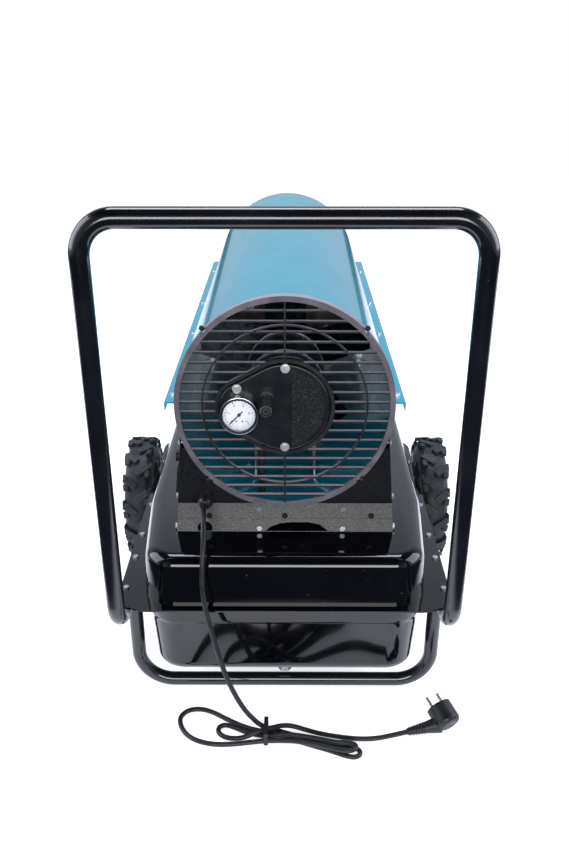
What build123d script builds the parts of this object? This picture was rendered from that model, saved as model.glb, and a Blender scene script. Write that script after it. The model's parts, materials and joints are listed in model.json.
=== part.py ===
"""Direct-fired forced air heater on a two-wheeled tube frame, one STEP file for each piece.

Frame: +Z up, +Y towards the hot air outlet, +X to the right of someone who stands behind the
handle. The origin is on the floor, below the middle of the object's box. Millimetres.
"""
from build123d import *
import os
from math import atan, cos, degrees, pi, radians, sin, sqrt, tan

# ---------------------------------------------------------------- driving dimensions
LENGTH = 1100.0          # handle tube to outlet edge
HEIGHT = 742.5           # floor to the top of the handle

TUBE_D = 25.0            # handle and frame tube
TUBE_WALL = 1.5
LEG_X = 238.0            # frame tube centre to the middle plane
HANDLE_BEND = 44.0
FOOT_BEND = 40.0
RUN_FRONT_Y = 75.0       # where the frame tubes end under the tank

STAND_D = 22.0           # rear support tube
STAND_X = 229.0
STAND_Y = -446.0
STAND_BEND = 53.0

WHEEL_D = 235.0
WHEEL_Y = 0.0
TYRE_W = 50.0
TYRE_BORE_D = 150.0
TYRE_SHOULDER = 14.0
TYRE_IN_X = 253.0        # inner face of the tyre
HUB_D = 44.0
HUB_W = 38.0
RIM_WALL = 5.0
AXLE_D = 16.0
AXLE_FIT = 0.05          # radial running clearance at the hub
PLATE_T = 4.0            # axle bracket plates

FLANGE_Z = 184.0         # parting plane of the tank halves
SHEET_T = 1.2            # sheet steel of tank, base and casing
TANK_W = 410.0           # over the rear end and the lower half
TANK_FLARE_W = 446.0     # over the middle and front of the upper half
TANK_FLARE_Y = -290.0    # where the upper half reaches that width
TANK_FLARE_R = 260.0
TANK_Y0 = -504.5
TANK_Y1 = 125.0
TANK_TOP_Z = 261.5
TANK_SUMP_Z = 60.0
TANK_SHALLOW_Z = 140.0   # front floor, raised over the axle
SUMP_Y1 = -70.0
SUMP_STEP = 1.0          # the sump is drawn in by this at its sides and rear
TANK_CORNER = 52.0
TANK_EDGE = 20.0
TANK_DRAFT = 4.0         # degrees
FLANGE_OUT_X = 247.0
FLANGE_END = 13.0        # flange width at the two ends of the tank
FLANGE_CORNER = 50.0
FLANGE_SCREW_Y = (-455.0, -362.0, -286.0, -174.0, 12.0)

AXIS_Z = 458.8           # casing, fan and motor axis
SHELL_R = 149.6
SHELL_Y0 = -410.0
SPLIT_Y0 = -401.5        # casing split flange
SPLIT_Y1 = 540.0
SPLIT_X = 170.9
LIP_H = 11.0
SPLIT_SCREW_Y = (-372.0, -60.0, 150.0, 430.0)
SPLIT_SCREW_X = 161.0

BASE_Y0 = -416.6         # rear face of the base box
BASE_LEN = 320.0
BASE_TOP_Z = 410.0
BASE_HALF_LOW = 161.8
BASE_HALF_HIGH = 149.0
SKIRT_Z = 284.0
GUARD_GAP = 1.6          # cut-out of the rear panel round the guard

GUARD_R = 154.6
GUARD_Y0 = -420.4
GUARD_LIP = 7.6
GUARD_DEPTH = 16.0
SLAT_PITCH = 14.18
SLAT_T = 2.2
SLAT_DEPTH = 6.5
SLATS = 20
MID_RING_R = 115.4
GUARD_NOTCH = (7.0, 9.0, 12.0)   # clip notches in the guard's rim

COVER_Y0 = -423.0        # face of the pump end cover
COVER_T = 11.0
COVER_R = 63.0
LOBE_X = -56.5
LOBE_DZ = 1.5
LOBE_R = 35.0
GAUGE_X = -63.0
GAUGE_DZ = -5.0
GAUGE_D = 52.0
GAUGE_H = 18.0
KNOB_X = -25.0
KNOB_DZ = 10.0
BOSS_D = 25.0
BOSS_H = 5.5
KNOB_D = 17.0
KNOB_L = 34.0
PAD_X0 = 9.6
PAD_R = 56.0
PAD_DEPTH = 4.0
COVER_SCREWS = ((0.7, 57.5), (0.0, -57.4), (-66.0, 28.5))

MOTOR_R = 58.0
MOTOR_Y0 = -362.0
MOTOR_LEN = 140.0
SHAFT_D = 10.0
RUN_FIT = 0.05           # radial running clearance of the shaft
PUMP_R = 55.0
PUMP_BORE_R = 36.0
ROTOR_R = 33.0
ROTOR_W = 20.0
FAN_R = 137.0
FAN_HUB_R = 26.0
FAN_Y0 = -205.0
FAN_HUB_W = 30.0
FAN_BLADES = 5
BLADE_T = 2.0

CHAMBER_R = 108.0
CHAMBER_Y0 = -15.0
CHAMBER_Y1 = 522.0
HEAD_R = 34.0
BAFFLE_Y = 330.0
BAFFLE_R = 62.0

SCREW_D = 5.0
SCREW_HEAD_D = 9.0
SCREW_HEAD_H = 3.2
HOLE_PLAY = 0.4          # clearance of a screw hole, on the diameter

CORD_D = 7.5
CORD_FLOOR = 0.15        # space under the cord where it lies
GLAND_X = -115.5
GLAND_Z = 320.0
GLAND_HEX = 22.0
GLAND_LEN = 30.0

# ---------------------------------------------------------------- sizes worked out from those
LEG_Y = -LENGTH / 2 + TUBE_D / 2
OUTLET_Y = LENGTH / 2
CROSSBAR_Z = HEIGHT - TUBE_D / 2
RUN_Z = FLANGE_Z - SHEET_T - TUBE_D / 2
STAND_Z = STAND_D / 2
WHEEL_Z = WHEEL_D / 2
SHELL_IN_R = SHELL_R - SHEET_T
BASE_Z = TANK_TOP_Z
BASE_Y1 = BASE_Y0 + BASE_LEN
SPLAY = (BASE_HALF_LOW - BASE_HALF_HIGH) / (BASE_TOP_Z - BASE_Z)
SPLAY_ANGLE = degrees(atan(SPLAY))
TYRE_OUT_X = TYRE_IN_X + TYRE_W
HOLE_D = SCREW_D + HOLE_PLAY

os.makedirs("parts", exist_ok=True)


def save(part, name):
    """Labels a finished piece and writes it under its node name."""
    part.label = name
    export_step(part, f"parts/{name}.step")


def base_half(z):
    """Half width over the outside of the splayed base box at height z."""
    return BASE_HALF_LOW - SPLAY * (z - BASE_Z)


def rear_plane(y, x=0.0, z=0.0):
    """A plane that looks back at the user: its X is +X, its Y is +Z and its normal is -Y."""
    return Plane(origin=(x, y, z), x_dir=(1, 0, 0), z_dir=(0, -1, 0))


def tube_frame(points, radii, outer_d, inner_d=0.0):
    """A round tube along straight runs joined by tangent arcs."""
    with BuildPart() as tube:
        with BuildLine() as path:
            FilletPolyline(*points, radius=radii)
        spine = path.wires()[0]
        with BuildSketch(spine ^ 0):
            Circle(outer_d / 2)
            if inner_d:
                Circle(inner_d / 2, mode=Mode.SUBTRACT)
        sweep(path=spine)
    return tube.part


def cylinder_y(radius, y0, y1, x=0.0, z=AXIS_Z):
    """A plain cylinder along Y, used as a cutter."""
    return Pos(x, (y0 + y1) / 2, z) * Rot(90, 0, 0) * Cylinder(radius, y1 - y0, mode=Mode.PRIVATE)


def cylinder_z(radius, x, y, z0, z1):
    """A plain cylinder along Z, used as a cutter."""
    return Pos(x, y, (z0 + z1) / 2) * Cylinder(radius, z1 - z0, mode=Mode.PRIVATE)


# ---------------------------------------------------------------- frame
frame_points = [
    (-LEG_X, RUN_FRONT_Y, RUN_Z), (-LEG_X, LEG_Y, RUN_Z), (-LEG_X, LEG_Y, CROSSBAR_Z),
    (LEG_X, LEG_Y, CROSSBAR_Z), (LEG_X, LEG_Y, RUN_Z), (LEG_X, RUN_FRONT_Y, RUN_Z),
]
frame_radii = [FOOT_BEND, HANDLE_BEND, HANDLE_BEND, FOOT_BEND]
bent_frame = tube_frame(frame_points, frame_radii, TUBE_D, TUBE_D - 2 * TUBE_WALL)
with BuildPart() as handle_frame:
    add(bent_frame)
    for side in (-1, 1):
        for y in FLANGE_SCREW_Y:
            add(cylinder_z(HOLE_D / 2, side * LEG_X, y, RUN_Z, RUN_Z + TUBE_D), mode=Mode.SUBTRACT)
save(handle_frame.part, "handle_frame")

# The rear support is notched against the underside of the frame tubes, as for a weld.
stand_points = [
    (-STAND_X, STAND_Y, RUN_Z), (-STAND_X, STAND_Y, STAND_Z),
    (STAND_X, STAND_Y, STAND_Z), (STAND_X, STAND_Y, RUN_Z),
]
bent_stand = tube_frame(stand_points, [STAND_BEND, STAND_BEND], STAND_D, STAND_D - 2 * TUBE_WALL)
with BuildPart() as rear_stand:
    add(bent_stand)
    for side in (-1, 1):
        add(cylinder_y(TUBE_D / 2, LEG_Y, RUN_FRONT_Y, side * LEG_X, RUN_Z), mode=Mode.SUBTRACT)
    # the thin tips beside the notch are trimmed a quarter of the tube below its middle
    with Locations((0, STAND_Y, RUN_Z)):
        Box(2 * LEG_X + TUBE_D, STAND_D + 2, TUBE_D / 2, mode=Mode.SUBTRACT)
save(rear_stand.part, "rear_stand")

AXLE_END = TYRE_IN_X + HUB_W + 10.0
with BuildPart() as axle:
    with BuildSketch(Plane.YZ.offset(-AXLE_END)):
        with Locations((WHEEL_Y, WHEEL_Z)):
            Circle(AXLE_D / 2)
    extrude(amount=2 * AXLE_END)
    chamfer(axle.faces().filter_by(Axis.X).edges(), 1.0)
save(axle.part, "axle")

with BuildPart() as axle_brackets:
    for side in (-1, 1):
        with BuildSketch(Plane.YZ.offset(side * LEG_X - PLATE_T / 2)):
            with BuildLine():
                Polyline((-34, RUN_Z), (34, RUN_Z), (18, WHEEL_Z - 10), (9, WHEEL_Z - 20),
                         (-9, WHEEL_Z - 20), (-18, WHEEL_Z - 10), close=True)
            make_face()
            with Locations((WHEEL_Y, WHEEL_Z)):
                Circle(AXLE_D / 2, mode=Mode.SUBTRACT)
        extrude(amount=PLATE_T)
        add(cylinder_y(TUBE_D / 2, LEG_Y, RUN_FRONT_Y, side * LEG_X, RUN_Z), mode=Mode.SUBTRACT)
save(axle_brackets.part, "axle_brackets")

# ---------------------------------------------------------------- wheels
for side, name in ((-1, "left"), (1, "right")):
    tyre_plane = Plane(origin=(side * TYRE_IN_X, WHEEL_Y, WHEEL_Z), x_dir=(side, 0, 0),
                       z_dir=(0, -1, 0))
    axis = Axis((0, WHEEL_Y, WHEEL_Z), (1, 0, 0))
    with BuildPart() as tyre:
        with BuildSketch(tyre_plane) as tyre_section:
            with Locations((TYRE_W / 2, (WHEEL_D + TYRE_BORE_D) / 4)):
                Rectangle(TYRE_W, (WHEEL_D - TYRE_BORE_D) / 2)
            fillet(tyre_section.vertices().group_by(Axis.Z)[-1], TYRE_SHOULDER)
        revolve(axis=axis)
        with BuildSketch(tyre_plane):
            for x in (TYRE_W * 0.36, TYRE_W * 0.64):
                with Locations((x, WHEEL_D / 2)):
                    Rectangle(4, 8)
        revolve(axis=axis, mode=Mode.SUBTRACT)
    save(tyre.part, f"tyre_{name}")

    with BuildPart() as rim:
        with BuildSketch(tyre_plane):
            with Locations((TYRE_W / 2, TYRE_BORE_D / 2 - RIM_WALL / 2)):
                Rectangle(TYRE_W - 8, RIM_WALL)
            with Locations((HUB_W / 2 + 0.5, HUB_D / 4 + AXLE_D / 4)):
                Rectangle(HUB_W - 1, (HUB_D - AXLE_D) / 2 - 2 * AXLE_FIT)
            with Locations((HUB_W / 2 + 0.5, (HUB_D + TYRE_BORE_D) / 4 - 1.5)):
                Rectangle(6, (TYRE_BORE_D - HUB_D) / 2 - 1)
        revolve(axis=axis)
        with BuildSketch(Plane.YZ.offset(side * TYRE_IN_X)):
            with Locations((WHEEL_Y, WHEEL_Z)):
                with PolarLocations((HUB_D + TYRE_BORE_D) / 4, 6):
                    Circle(13)
        extrude(amount=side * (HUB_W + 2), mode=Mode.SUBTRACT)
    save(rim.part, f"rim_{name}")

SLEEVE_D = 24.0          # spacer between bracket and hub
COTTER_D, PIN_END = 3.2, 7.0     # the two ends of each cotter pin
with BuildPart() as wheel_retainers:
    for side in (-1, 1):
        for x0, x1, d in ((LEG_X + PLATE_T / 2, TYRE_IN_X + 0.2, SLEEVE_D),
                          (TYRE_IN_X + HUB_W + 0.3, TYRE_IN_X + HUB_W + 2.3, 30.0)):
            with BuildSketch(Plane.YZ.offset(side * x0)):
                with Locations((WHEEL_Y, WHEEL_Z)):
                    Circle(d / 2)
                    Circle(AXLE_D / 2, mode=Mode.SUBTRACT)
            extrude(amount=side * (x1 - x0))
        pin_x = side * (TYRE_IN_X + HUB_W + 4.2)
        for dz in (-AXLE_D / 2 - PIN_END / 2, AXLE_D / 2 + PIN_END / 2):
            with Locations((pin_x, WHEEL_Y, WHEEL_Z + dz)):
                Cylinder(COTTER_D / 2, PIN_END)
save(wheel_retainers.part, "wheel_retainers")


# ---------------------------------------------------------------- fuel tank
def upper_outline(inset):
    """The plan of the upper half: it widens from its rear end to the middle, with round corners."""
    rear, front = TANK_W / 2 - inset, TANK_FLARE_W / 2 - inset
    y0, y1 = TANK_Y0 + inset, TANK_Y1 - inset
    with BuildSketch(mode=Mode.PRIVATE) as outline:
        Polygon((-rear, y0), (rear, y0), (front, TANK_FLARE_Y), (front, y1), (-front, y1),
                (-front, TANK_FLARE_Y), align=None)
        fillet(outline.vertices().group_by(Axis.Y)[0], TANK_CORNER - inset)
        fillet(outline.vertices().group_by(Axis.Y)[-1], TANK_CORNER - inset)
        bends = [v for v in outline.vertices() if abs(v.Y - TANK_FLARE_Y) < 1]
        fillet(bends, TANK_FLARE_R)
    return outline.sketch


def upper_block(inset):
    """The drafted upper half of the tank with a rounded top."""
    with BuildPart() as block:
        with BuildSketch(Plane.XY.offset(FLANGE_Z)):
            add(upper_outline(inset))
        extrude(amount=TANK_TOP_Z - FLANGE_Z - inset, taper=TANK_DRAFT)
        fillet(block.faces().sort_by(Axis.Z)[-1].edges(), TANK_EDGE - inset)
    return block.part


def tank_block(z_from, z_to, width, y0, y1, inset):
    """A drafted block with rounded corners and a rounded closed end, grown from z_from to z_to."""
    height = abs(z_to - z_from) - inset
    with BuildPart() as block:
        flip = 1 if z_to > z_from else -1
        plane = Plane.XY.offset(z_from)
        if flip < 0:
            plane = plane.rotated((180, 0, 0))
        with BuildSketch(plane):
            with Locations((0, flip * (y0 + y1) / 2)):
                RectangleRounded(width - 2 * inset, y1 - y0 - 2 * inset, TANK_CORNER - inset)
        extrude(amount=height, taper=TANK_DRAFT)
        closed = block.faces().sort_by(Axis.Z)[-1 if z_to > z_from else 0]
        fillet(closed.edges(), TANK_EDGE - inset)
    return block.part


FILLER_X, FILLER_Y, FILLER_D = 135.0, 20.0, 46.0
FUEL_GAUGE_X, FUEL_GAUGE_Y, FUEL_GAUGE_D = -135.0, 20.0, 40.0
FUEL_HOLE_D = 26.0
FUEL_LINE_D = 7.0
FUEL_LINE_X = 70.0
FUEL_LINE_Y = -140.0
DRAIN_Y = -464.0
DRAIN_HEAD_H = 11.0
DRAIN_D = 12.0


def flange_plate(z0, z1, upper):
    """The flat flange of one tank half, with its screw holes."""
    length = TANK_Y1 - TANK_Y0 + 2 * FLANGE_END
    with BuildPart() as plate:
        with BuildSketch(Plane.XY.offset(z0)):
            with Locations((0, (TANK_Y0 + TANK_Y1) / 2)):
                RectangleRounded(2 * FLANGE_OUT_X, length, FLANGE_CORNER)
                if not upper:
                    RectangleRounded(TANK_W - 2 * SHEET_T, TANK_Y1 - TANK_Y0 - 2 * SHEET_T,
                                     TANK_CORNER - SHEET_T, mode=Mode.SUBTRACT)
            if upper:
                add(upper_outline(SHEET_T), mode=Mode.SUBTRACT)
            with Locations(*[(side * LEG_X, y) for side in (-1, 1) for y in FLANGE_SCREW_Y]):
                Circle(HOLE_D / 2, mode=Mode.SUBTRACT)
        extrude(amount=z1 - z0)
    return plate.part


upper_outside, upper_inside = (upper_block(inset) for inset in (0.0, SHEET_T))
upper_flange = flange_plate(FLANGE_Z, FLANGE_Z + SHEET_T, True)
with BuildPart() as tank_upper:
    add(upper_outside)
    add(upper_inside, mode=Mode.SUBTRACT)
    add(upper_flange)
    for x, y, d in ((FILLER_X, FILLER_Y, FILLER_D), (FUEL_GAUGE_X, FUEL_GAUGE_Y, FUEL_HOLE_D),
                    (FUEL_LINE_X, FUEL_LINE_Y, FUEL_LINE_D + 1)):
        add(cylinder_z(d / 2, x, y, TANK_TOP_Z - 10, TANK_TOP_Z + 10), mode=Mode.SUBTRACT)
save(tank_upper.part, "tank_upper")

shallow_outside, shallow_inside = (
    tank_block(FLANGE_Z, TANK_SHALLOW_Z, TANK_W, TANK_Y0, TANK_Y1, inset)
    for inset in (0.0, SHEET_T))
sump_outside, sump_inside = (
    tank_block(FLANGE_Z, TANK_SUMP_Z, TANK_W - 2 * SUMP_STEP, TANK_Y0 + SUMP_STEP, SUMP_Y1, inset)
    for inset in (0.0, SHEET_T))
lower_flange = flange_plate(FLANGE_Z - SHEET_T, FLANGE_Z, False)
with BuildPart() as tank_lower:
    add(shallow_outside)
    add(sump_outside)
    add(shallow_inside, mode=Mode.SUBTRACT)
    add(sump_inside, mode=Mode.SUBTRACT)
    add(lower_flange)
    add(cylinder_z(DRAIN_D / 2 + 0.1, 0, DRAIN_Y, TANK_SUMP_Z - 5, TANK_SUMP_Z + 5), mode=Mode.SUBTRACT)
save(tank_lower.part, "tank_lower")

with BuildPart() as drain_plug:
    with BuildSketch(Plane.XY.offset(TANK_SUMP_Z - 3 - DRAIN_HEAD_H)):
        with Locations((0, DRAIN_Y)):
            RegularPolygon(11, 6)
    extrude(amount=DRAIN_HEAD_H)
    with BuildSketch(Plane.XY.offset(TANK_SUMP_Z - 3)):
        with Locations((0, DRAIN_Y)):
            Circle(11.5)
    extrude(amount=3)
    with BuildSketch(Plane.XY.offset(TANK_SUMP_Z)):
        with Locations((0, DRAIN_Y)):
            Circle(DRAIN_D / 2)
    extrude(amount=8)
save(drain_plug.part, "drain_plug")

with BuildPart() as flange_screws:
    with BuildSketch(Plane.XY.offset(FLANGE_Z + SHEET_T)):
        with Locations(*[(side * LEG_X, y) for side in (-1, 1) for y in FLANGE_SCREW_Y]):
            RegularPolygon(SCREW_HEAD_D / 2, 6)
    extrude(amount=SCREW_HEAD_H)
    with BuildSketch(Plane.XY.offset(FLANGE_Z + SHEET_T)):
        with Locations(*[(side * LEG_X, y) for side in (-1, 1) for y in FLANGE_SCREW_Y]):
            Circle(SCREW_D / 2)
    extrude(amount=-8)
save(flange_screws.part, "flange_screws")

NECK_H = 16.0
with BuildPart() as filler_neck:
    with BuildSketch(Plane.XY.offset(TANK_TOP_Z)):
        with Locations((FILLER_X, FILLER_Y)):
            Circle(FILLER_D / 2 + 8)
            Circle(FILLER_D / 2 - 1.5, mode=Mode.SUBTRACT)
    extrude(amount=1.5)
    with BuildSketch(Plane.XY.offset(TANK_TOP_Z)):
        with Locations((FILLER_X, FILLER_Y)):
            Circle(FILLER_D / 2 + 0.5)
            Circle(FILLER_D / 2 - 1.5, mode=Mode.SUBTRACT)
    extrude(amount=NECK_H)
save(filler_neck.part, "filler_neck")

STRAINER_R = FILLER_D / 2 - 2.2
with BuildPart() as filler_strainer:
    with BuildSketch(Plane.XY.offset(TANK_TOP_Z + NECK_H)):
        with Locations((FILLER_X, FILLER_Y)):
            Circle(FILLER_D / 2 + 0.5)
            Circle(STRAINER_R - 0.8, mode=Mode.SUBTRACT)
    extrude(amount=0.8)
    with BuildSketch(Plane.XY.offset(TANK_TOP_Z + NECK_H)):
        with Locations((FILLER_X, FILLER_Y)):
            Circle(STRAINER_R)
    extrude(amount=-70)
    with BuildSketch(Plane.XY.offset(TANK_TOP_Z + NECK_H)):
        with Locations((FILLER_X, FILLER_Y)):
            Circle(STRAINER_R - 0.8)
    extrude(amount=-69, mode=Mode.SUBTRACT)
save(filler_strainer.part, "filler_strainer")

CAP_R = FILLER_D / 2 + 5.5
with BuildPart() as filler_cap:
    with BuildSketch(Plane.XY.offset(TANK_TOP_Z + 2.2)):
        with Locations((FILLER_X, FILLER_Y)):
            Circle(CAP_R)
            with PolarLocations(CAP_R + 1.5, 12):
                Circle(3.2, mode=Mode.SUBTRACT)
    extrude(amount=NECK_H + 4)
    fillet(filler_cap.faces().sort_by(Axis.Z)[-1].edges(), 1.2)
    with BuildSketch(Plane.XY.offset(TANK_TOP_Z + 2.2)):
        with Locations((FILLER_X, FILLER_Y)):
            Circle(FILLER_D / 2 + 0.8)
    extrude(amount=NECK_H - 1.1, mode=Mode.SUBTRACT)
save(filler_cap.part, "filler_cap")

FLOAT_PIVOT_Z = TANK_TOP_Z - 26.0
with BuildPart() as fuel_gauge_body:
    with BuildSketch(Plane.XY.offset(TANK_TOP_Z)):
        with Locations((FUEL_GAUGE_X, FUEL_GAUGE_Y)):
            Circle(FUEL_GAUGE_D / 2)
    extrude(amount=10)
    with BuildSketch(Plane.XY.offset(TANK_TOP_Z + 3)):
        with Locations((FUEL_GAUGE_X, FUEL_GAUGE_Y)):
            Circle(FUEL_GAUGE_D / 2 - 2)
    extrude(amount=7, mode=Mode.SUBTRACT)
    with BuildSketch(Plane.XY.offset(TANK_TOP_Z)):
        with Locations((FUEL_GAUGE_X, FUEL_GAUGE_Y)):
            Circle(FUEL_HOLE_D / 2 - 0.2)
    extrude(amount=-12)
    for dx in (-5.0, 5.0):
        with Locations((FUEL_GAUGE_X + dx, FUEL_GAUGE_Y, TANK_TOP_Z - 22)):
            Box(2, 10, 22)
    with Locations((FUEL_GAUGE_X, FUEL_GAUGE_Y, FLOAT_PIVOT_Z)):
        Cylinder(1.5, 12, rotation=(0, 90, 0))
save(fuel_gauge_body.part, "fuel_gauge_body")

with BuildPart() as fuel_gauge_needle:
    with BuildSketch(Plane.XY.offset(TANK_TOP_Z + 3.4)):
        with Locations((FUEL_GAUGE_X, FUEL_GAUGE_Y)):
            Circle(3)
        with Locations((FUEL_GAUGE_X, FUEL_GAUGE_Y + 6)):
            Rectangle(1.8, 14)
    extrude(amount=1.2)
save(fuel_gauge_needle.part, "fuel_gauge_needle")

FLOAT_ARM_L = 84.0
FLOAT_DROP = 60.0        # degrees below level, where the arm stops with the tank empty
with BuildPart() as float_arm:
    with BuildSketch(Plane.YZ.offset(FUEL_GAUGE_X - 2.5)):
        with Locations((FUEL_GAUGE_Y, FLOAT_PIVOT_Z)):
            Circle(4)
            Circle(1.55, mode=Mode.SUBTRACT)
        with Locations((FUEL_GAUGE_Y - FLOAT_ARM_L / 2 - 1.5, FLOAT_PIVOT_Z)):
            Rectangle(FLOAT_ARM_L - 3, 3)
    extrude(amount=5)
    with BuildSketch(Plane.YZ.offset(FUEL_GAUGE_X - 11)):
        with Locations((FUEL_GAUGE_Y - FLOAT_ARM_L, FLOAT_PIVOT_Z)):
            Circle(11)
    extrude(amount=22)
float_pivot = Axis((FUEL_GAUGE_X, FUEL_GAUGE_Y, FLOAT_PIVOT_Z), (1, 0, 0))
save(float_arm.part.rotate(float_pivot, FLOAT_DROP), "float_arm")

# ---------------------------------------------------------------- base box
CABLE_HOLE_D = 16.0
REAR_SCREWS = ((-112, SKIRT_Z + 5), (0, SKIRT_Z + 5), (128, SKIRT_Z + 5), (-38, 300), (86, 300))
SIDE_SCREW_Z = (267.0, 317.0, 402.0)
SKIRT_SCREWS = ((-38, 268), (86, 268))
# the low arch in the skirt, from its left foot to its right foot
ARCH = ((-30, 0), (-22, 8), (-8, 14), (10, 16), (34, 16), (52, 12), (66, 0))
with BuildPart() as rear_panel:
    with BuildSketch(rear_plane(BASE_Y0 + SHEET_T)):
        with BuildLine():
            top = BASE_TOP_Z - 14
            Polyline((-base_half(SKIRT_Z), SKIRT_Z + 0.3), (base_half(SKIRT_Z), SKIRT_Z + 0.3),
                     (base_half(top), top), (-base_half(top), top), close=True)
        make_face()
        with Locations((0, AXIS_Z)):
            Circle(GUARD_R + GUARD_GAP, mode=Mode.SUBTRACT)
        with Locations((GLAND_X, GLAND_Z)):
            Circle(CABLE_HOLE_D / 2, mode=Mode.SUBTRACT)
        with Locations(*REAR_SCREWS):
            Circle(HOLE_D / 2, mode=Mode.SUBTRACT)
    extrude(amount=SHEET_T)
save(rear_panel.part, "rear_panel")

tray_inner = BASE_HALF_LOW - SHEET_T - 3.6
with BuildPart() as base_tray:
    with BuildSketch(Plane.XY.offset(BASE_Z)):
        with Locations((0, (BASE_Y0 + BASE_Y1) / 2)):
            Rectangle(2 * tray_inner, BASE_LEN)
        with Locations((FUEL_LINE_X, FUEL_LINE_Y)):
            Circle(FUEL_LINE_D / 2 + 0.5, mode=Mode.SUBTRACT)
    extrude(amount=SHEET_T)
    for side in (-1, 1):
        with Locations((side * (tray_inner - SHEET_T / 2), (BASE_Y0 + BASE_Y1) / 2, BASE_Z + 9)):
            Box(SHEET_T, BASE_LEN, 18)
        with Locations((side * (tray_inner - SHEET_T / 2), BASE_Y0 + 9, SIDE_SCREW_Z[0])):
            Cylinder(HOLE_D / 2 + 0.6, 6, rotation=(0, 90, 0), mode=Mode.SUBTRACT)
    with BuildSketch(rear_plane(BASE_Y0 + SHEET_T)):
        with BuildLine():
            Polyline((-BASE_HALF_LOW, BASE_Z), (BASE_HALF_LOW, BASE_Z),
                     (base_half(SKIRT_Z), SKIRT_Z), (-base_half(SKIRT_Z), SKIRT_Z), close=True)
        make_face()
        with Locations((0, BASE_Z)):
            Polygon(*ARCH, align=None, mode=Mode.SUBTRACT)
        with Locations((GLAND_X - 4, BASE_Z + 6)):
            Circle(11, mode=Mode.SUBTRACT)
        with Locations(*SKIRT_SCREWS):
            Circle(HOLE_D / 2, mode=Mode.SUBTRACT)
    extrude(amount=SHEET_T)
save(base_tray.part, "base_tray")

panel_z0 = BASE_Z + 0.3
CONTROL_Y, CONTROL_Z, CONTROL_L, CONTROL_H = -340.0, 334.0, 116.0, 40.0
for side, name in ((-1, "left"), (1, "right")):
    with BuildPart() as side_panel:
        with BuildSketch(Plane.XZ.offset(-(BASE_Y0 + SHEET_T))):
            with BuildLine():
                Polyline((side * base_half(panel_z0), panel_z0),
                         (side * base_half(BASE_TOP_Z), BASE_TOP_Z),
                         (side * (base_half(BASE_TOP_Z) - SHEET_T), BASE_TOP_Z),
                         (side * (base_half(panel_z0) - SHEET_T), panel_z0), close=True)
            make_face()
        extrude(amount=-(BASE_LEN - SHEET_T))
        for z in SIDE_SCREW_Z:
            with Locations((side * base_half(z), BASE_Y0 + 9, z)):
                Cylinder(HOLE_D / 2, 8, rotation=(0, 90, 0), mode=Mode.SUBTRACT)
        if side < 0:
            for y, w, h in ((CONTROL_Y - 34, 22, 15), (CONTROL_Y + 10, 7, 7), (CONTROL_Y + 38, 7, 7)):
                with Locations((-base_half(CONTROL_Z), y, CONTROL_Z)):
                    Box(12, w, h, mode=Mode.SUBTRACT)
    save(side_panel.part, f"side_panel_{name}")

SADDLE_FIT = 0.05
with BuildPart() as front_panel:
    with BuildSketch(rear_plane(BASE_Y1 + SHEET_T)):
        with BuildLine():
            Polyline((-base_half(panel_z0), panel_z0), (base_half(panel_z0), panel_z0),
                     (base_half(BASE_TOP_Z), BASE_TOP_Z), (-base_half(BASE_TOP_Z), BASE_TOP_Z), close=True)
        make_face()
        with Locations((0, AXIS_Z)):
            Circle(SHELL_R + SADDLE_FIT, mode=Mode.SUBTRACT)
    extrude(amount=SHEET_T)
save(front_panel.part, "front_panel")

SADDLE_Y, SADDLE_L, SADDLE_HALF, SADDLE_T = 80.0, 60.0, 95.0, 2.0
saddle_top = AXIS_Z - sqrt((SHELL_R + SADDLE_FIT) ** 2 - SADDLE_HALF ** 2)
with BuildPart() as front_saddle:
    with BuildSketch(Plane.XY.offset(BASE_Z)):
        with Locations((0, SADDLE_Y)):
            Rectangle(2 * SADDLE_HALF, SADDLE_L)
    extrude(amount=SADDLE_T)
    for y in (SADDLE_Y - SADDLE_L / 2, SADDLE_Y + SADDLE_L / 2 - SADDLE_T):
        with BuildSketch(rear_plane(y + SADDLE_T)):
            with Locations((0, (BASE_Z + saddle_top) / 2)):
                Rectangle(2 * SADDLE_HALF, saddle_top - BASE_Z)
            with Locations((0, AXIS_Z)):
                Circle(SHELL_R + SADDLE_FIT, mode=Mode.SUBTRACT)
        extrude(amount=SADDLE_T)
save(front_saddle.part, "front_saddle")

# ---------------------------------------------------------------- controls on the left panel
control_plane = Plane(origin=(-base_half(CONTROL_Z), CONTROL_Y, CONTROL_Z), x_dir=(0, -1, 0),
                      z_dir=(-cos(radians(SPLAY_ANGLE)), 0, sin(radians(SPLAY_ANGLE))))
BEZEL_T = 5.0
SWITCH_X, LAMP_X, KNOB_DIAL_X = 34.0, -10.0, -38.0
DIAL_D = 26.0
with BuildPart() as control_bezel:
    with BuildSketch(control_plane):
        RectangleRounded(CONTROL_L, CONTROL_H, 4)
        with Locations((SWITCH_X, 0)):
            Rectangle(22, 15, mode=Mode.SUBTRACT)
        with Locations((LAMP_X, 0), (KNOB_DIAL_X, 0)):
            Circle(3.2, mode=Mode.SUBTRACT)
    extrude(amount=BEZEL_T)
save(control_bezel.part, "control_bezel")

with BuildPart() as power_switch:
    with BuildSketch(control_plane.offset(-6)):
        with Locations((SWITCH_X, 0)):
            Rectangle(19, 13)
    extrude(amount=BEZEL_T + 7.5)
    with BuildSketch(control_plane.offset(BEZEL_T + 1.5)):
        with Locations((SWITCH_X, 0)):
            Rectangle(1.2, 13)
    extrude(amount=-1, mode=Mode.SUBTRACT)
save(power_switch.part, "power_switch")

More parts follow.
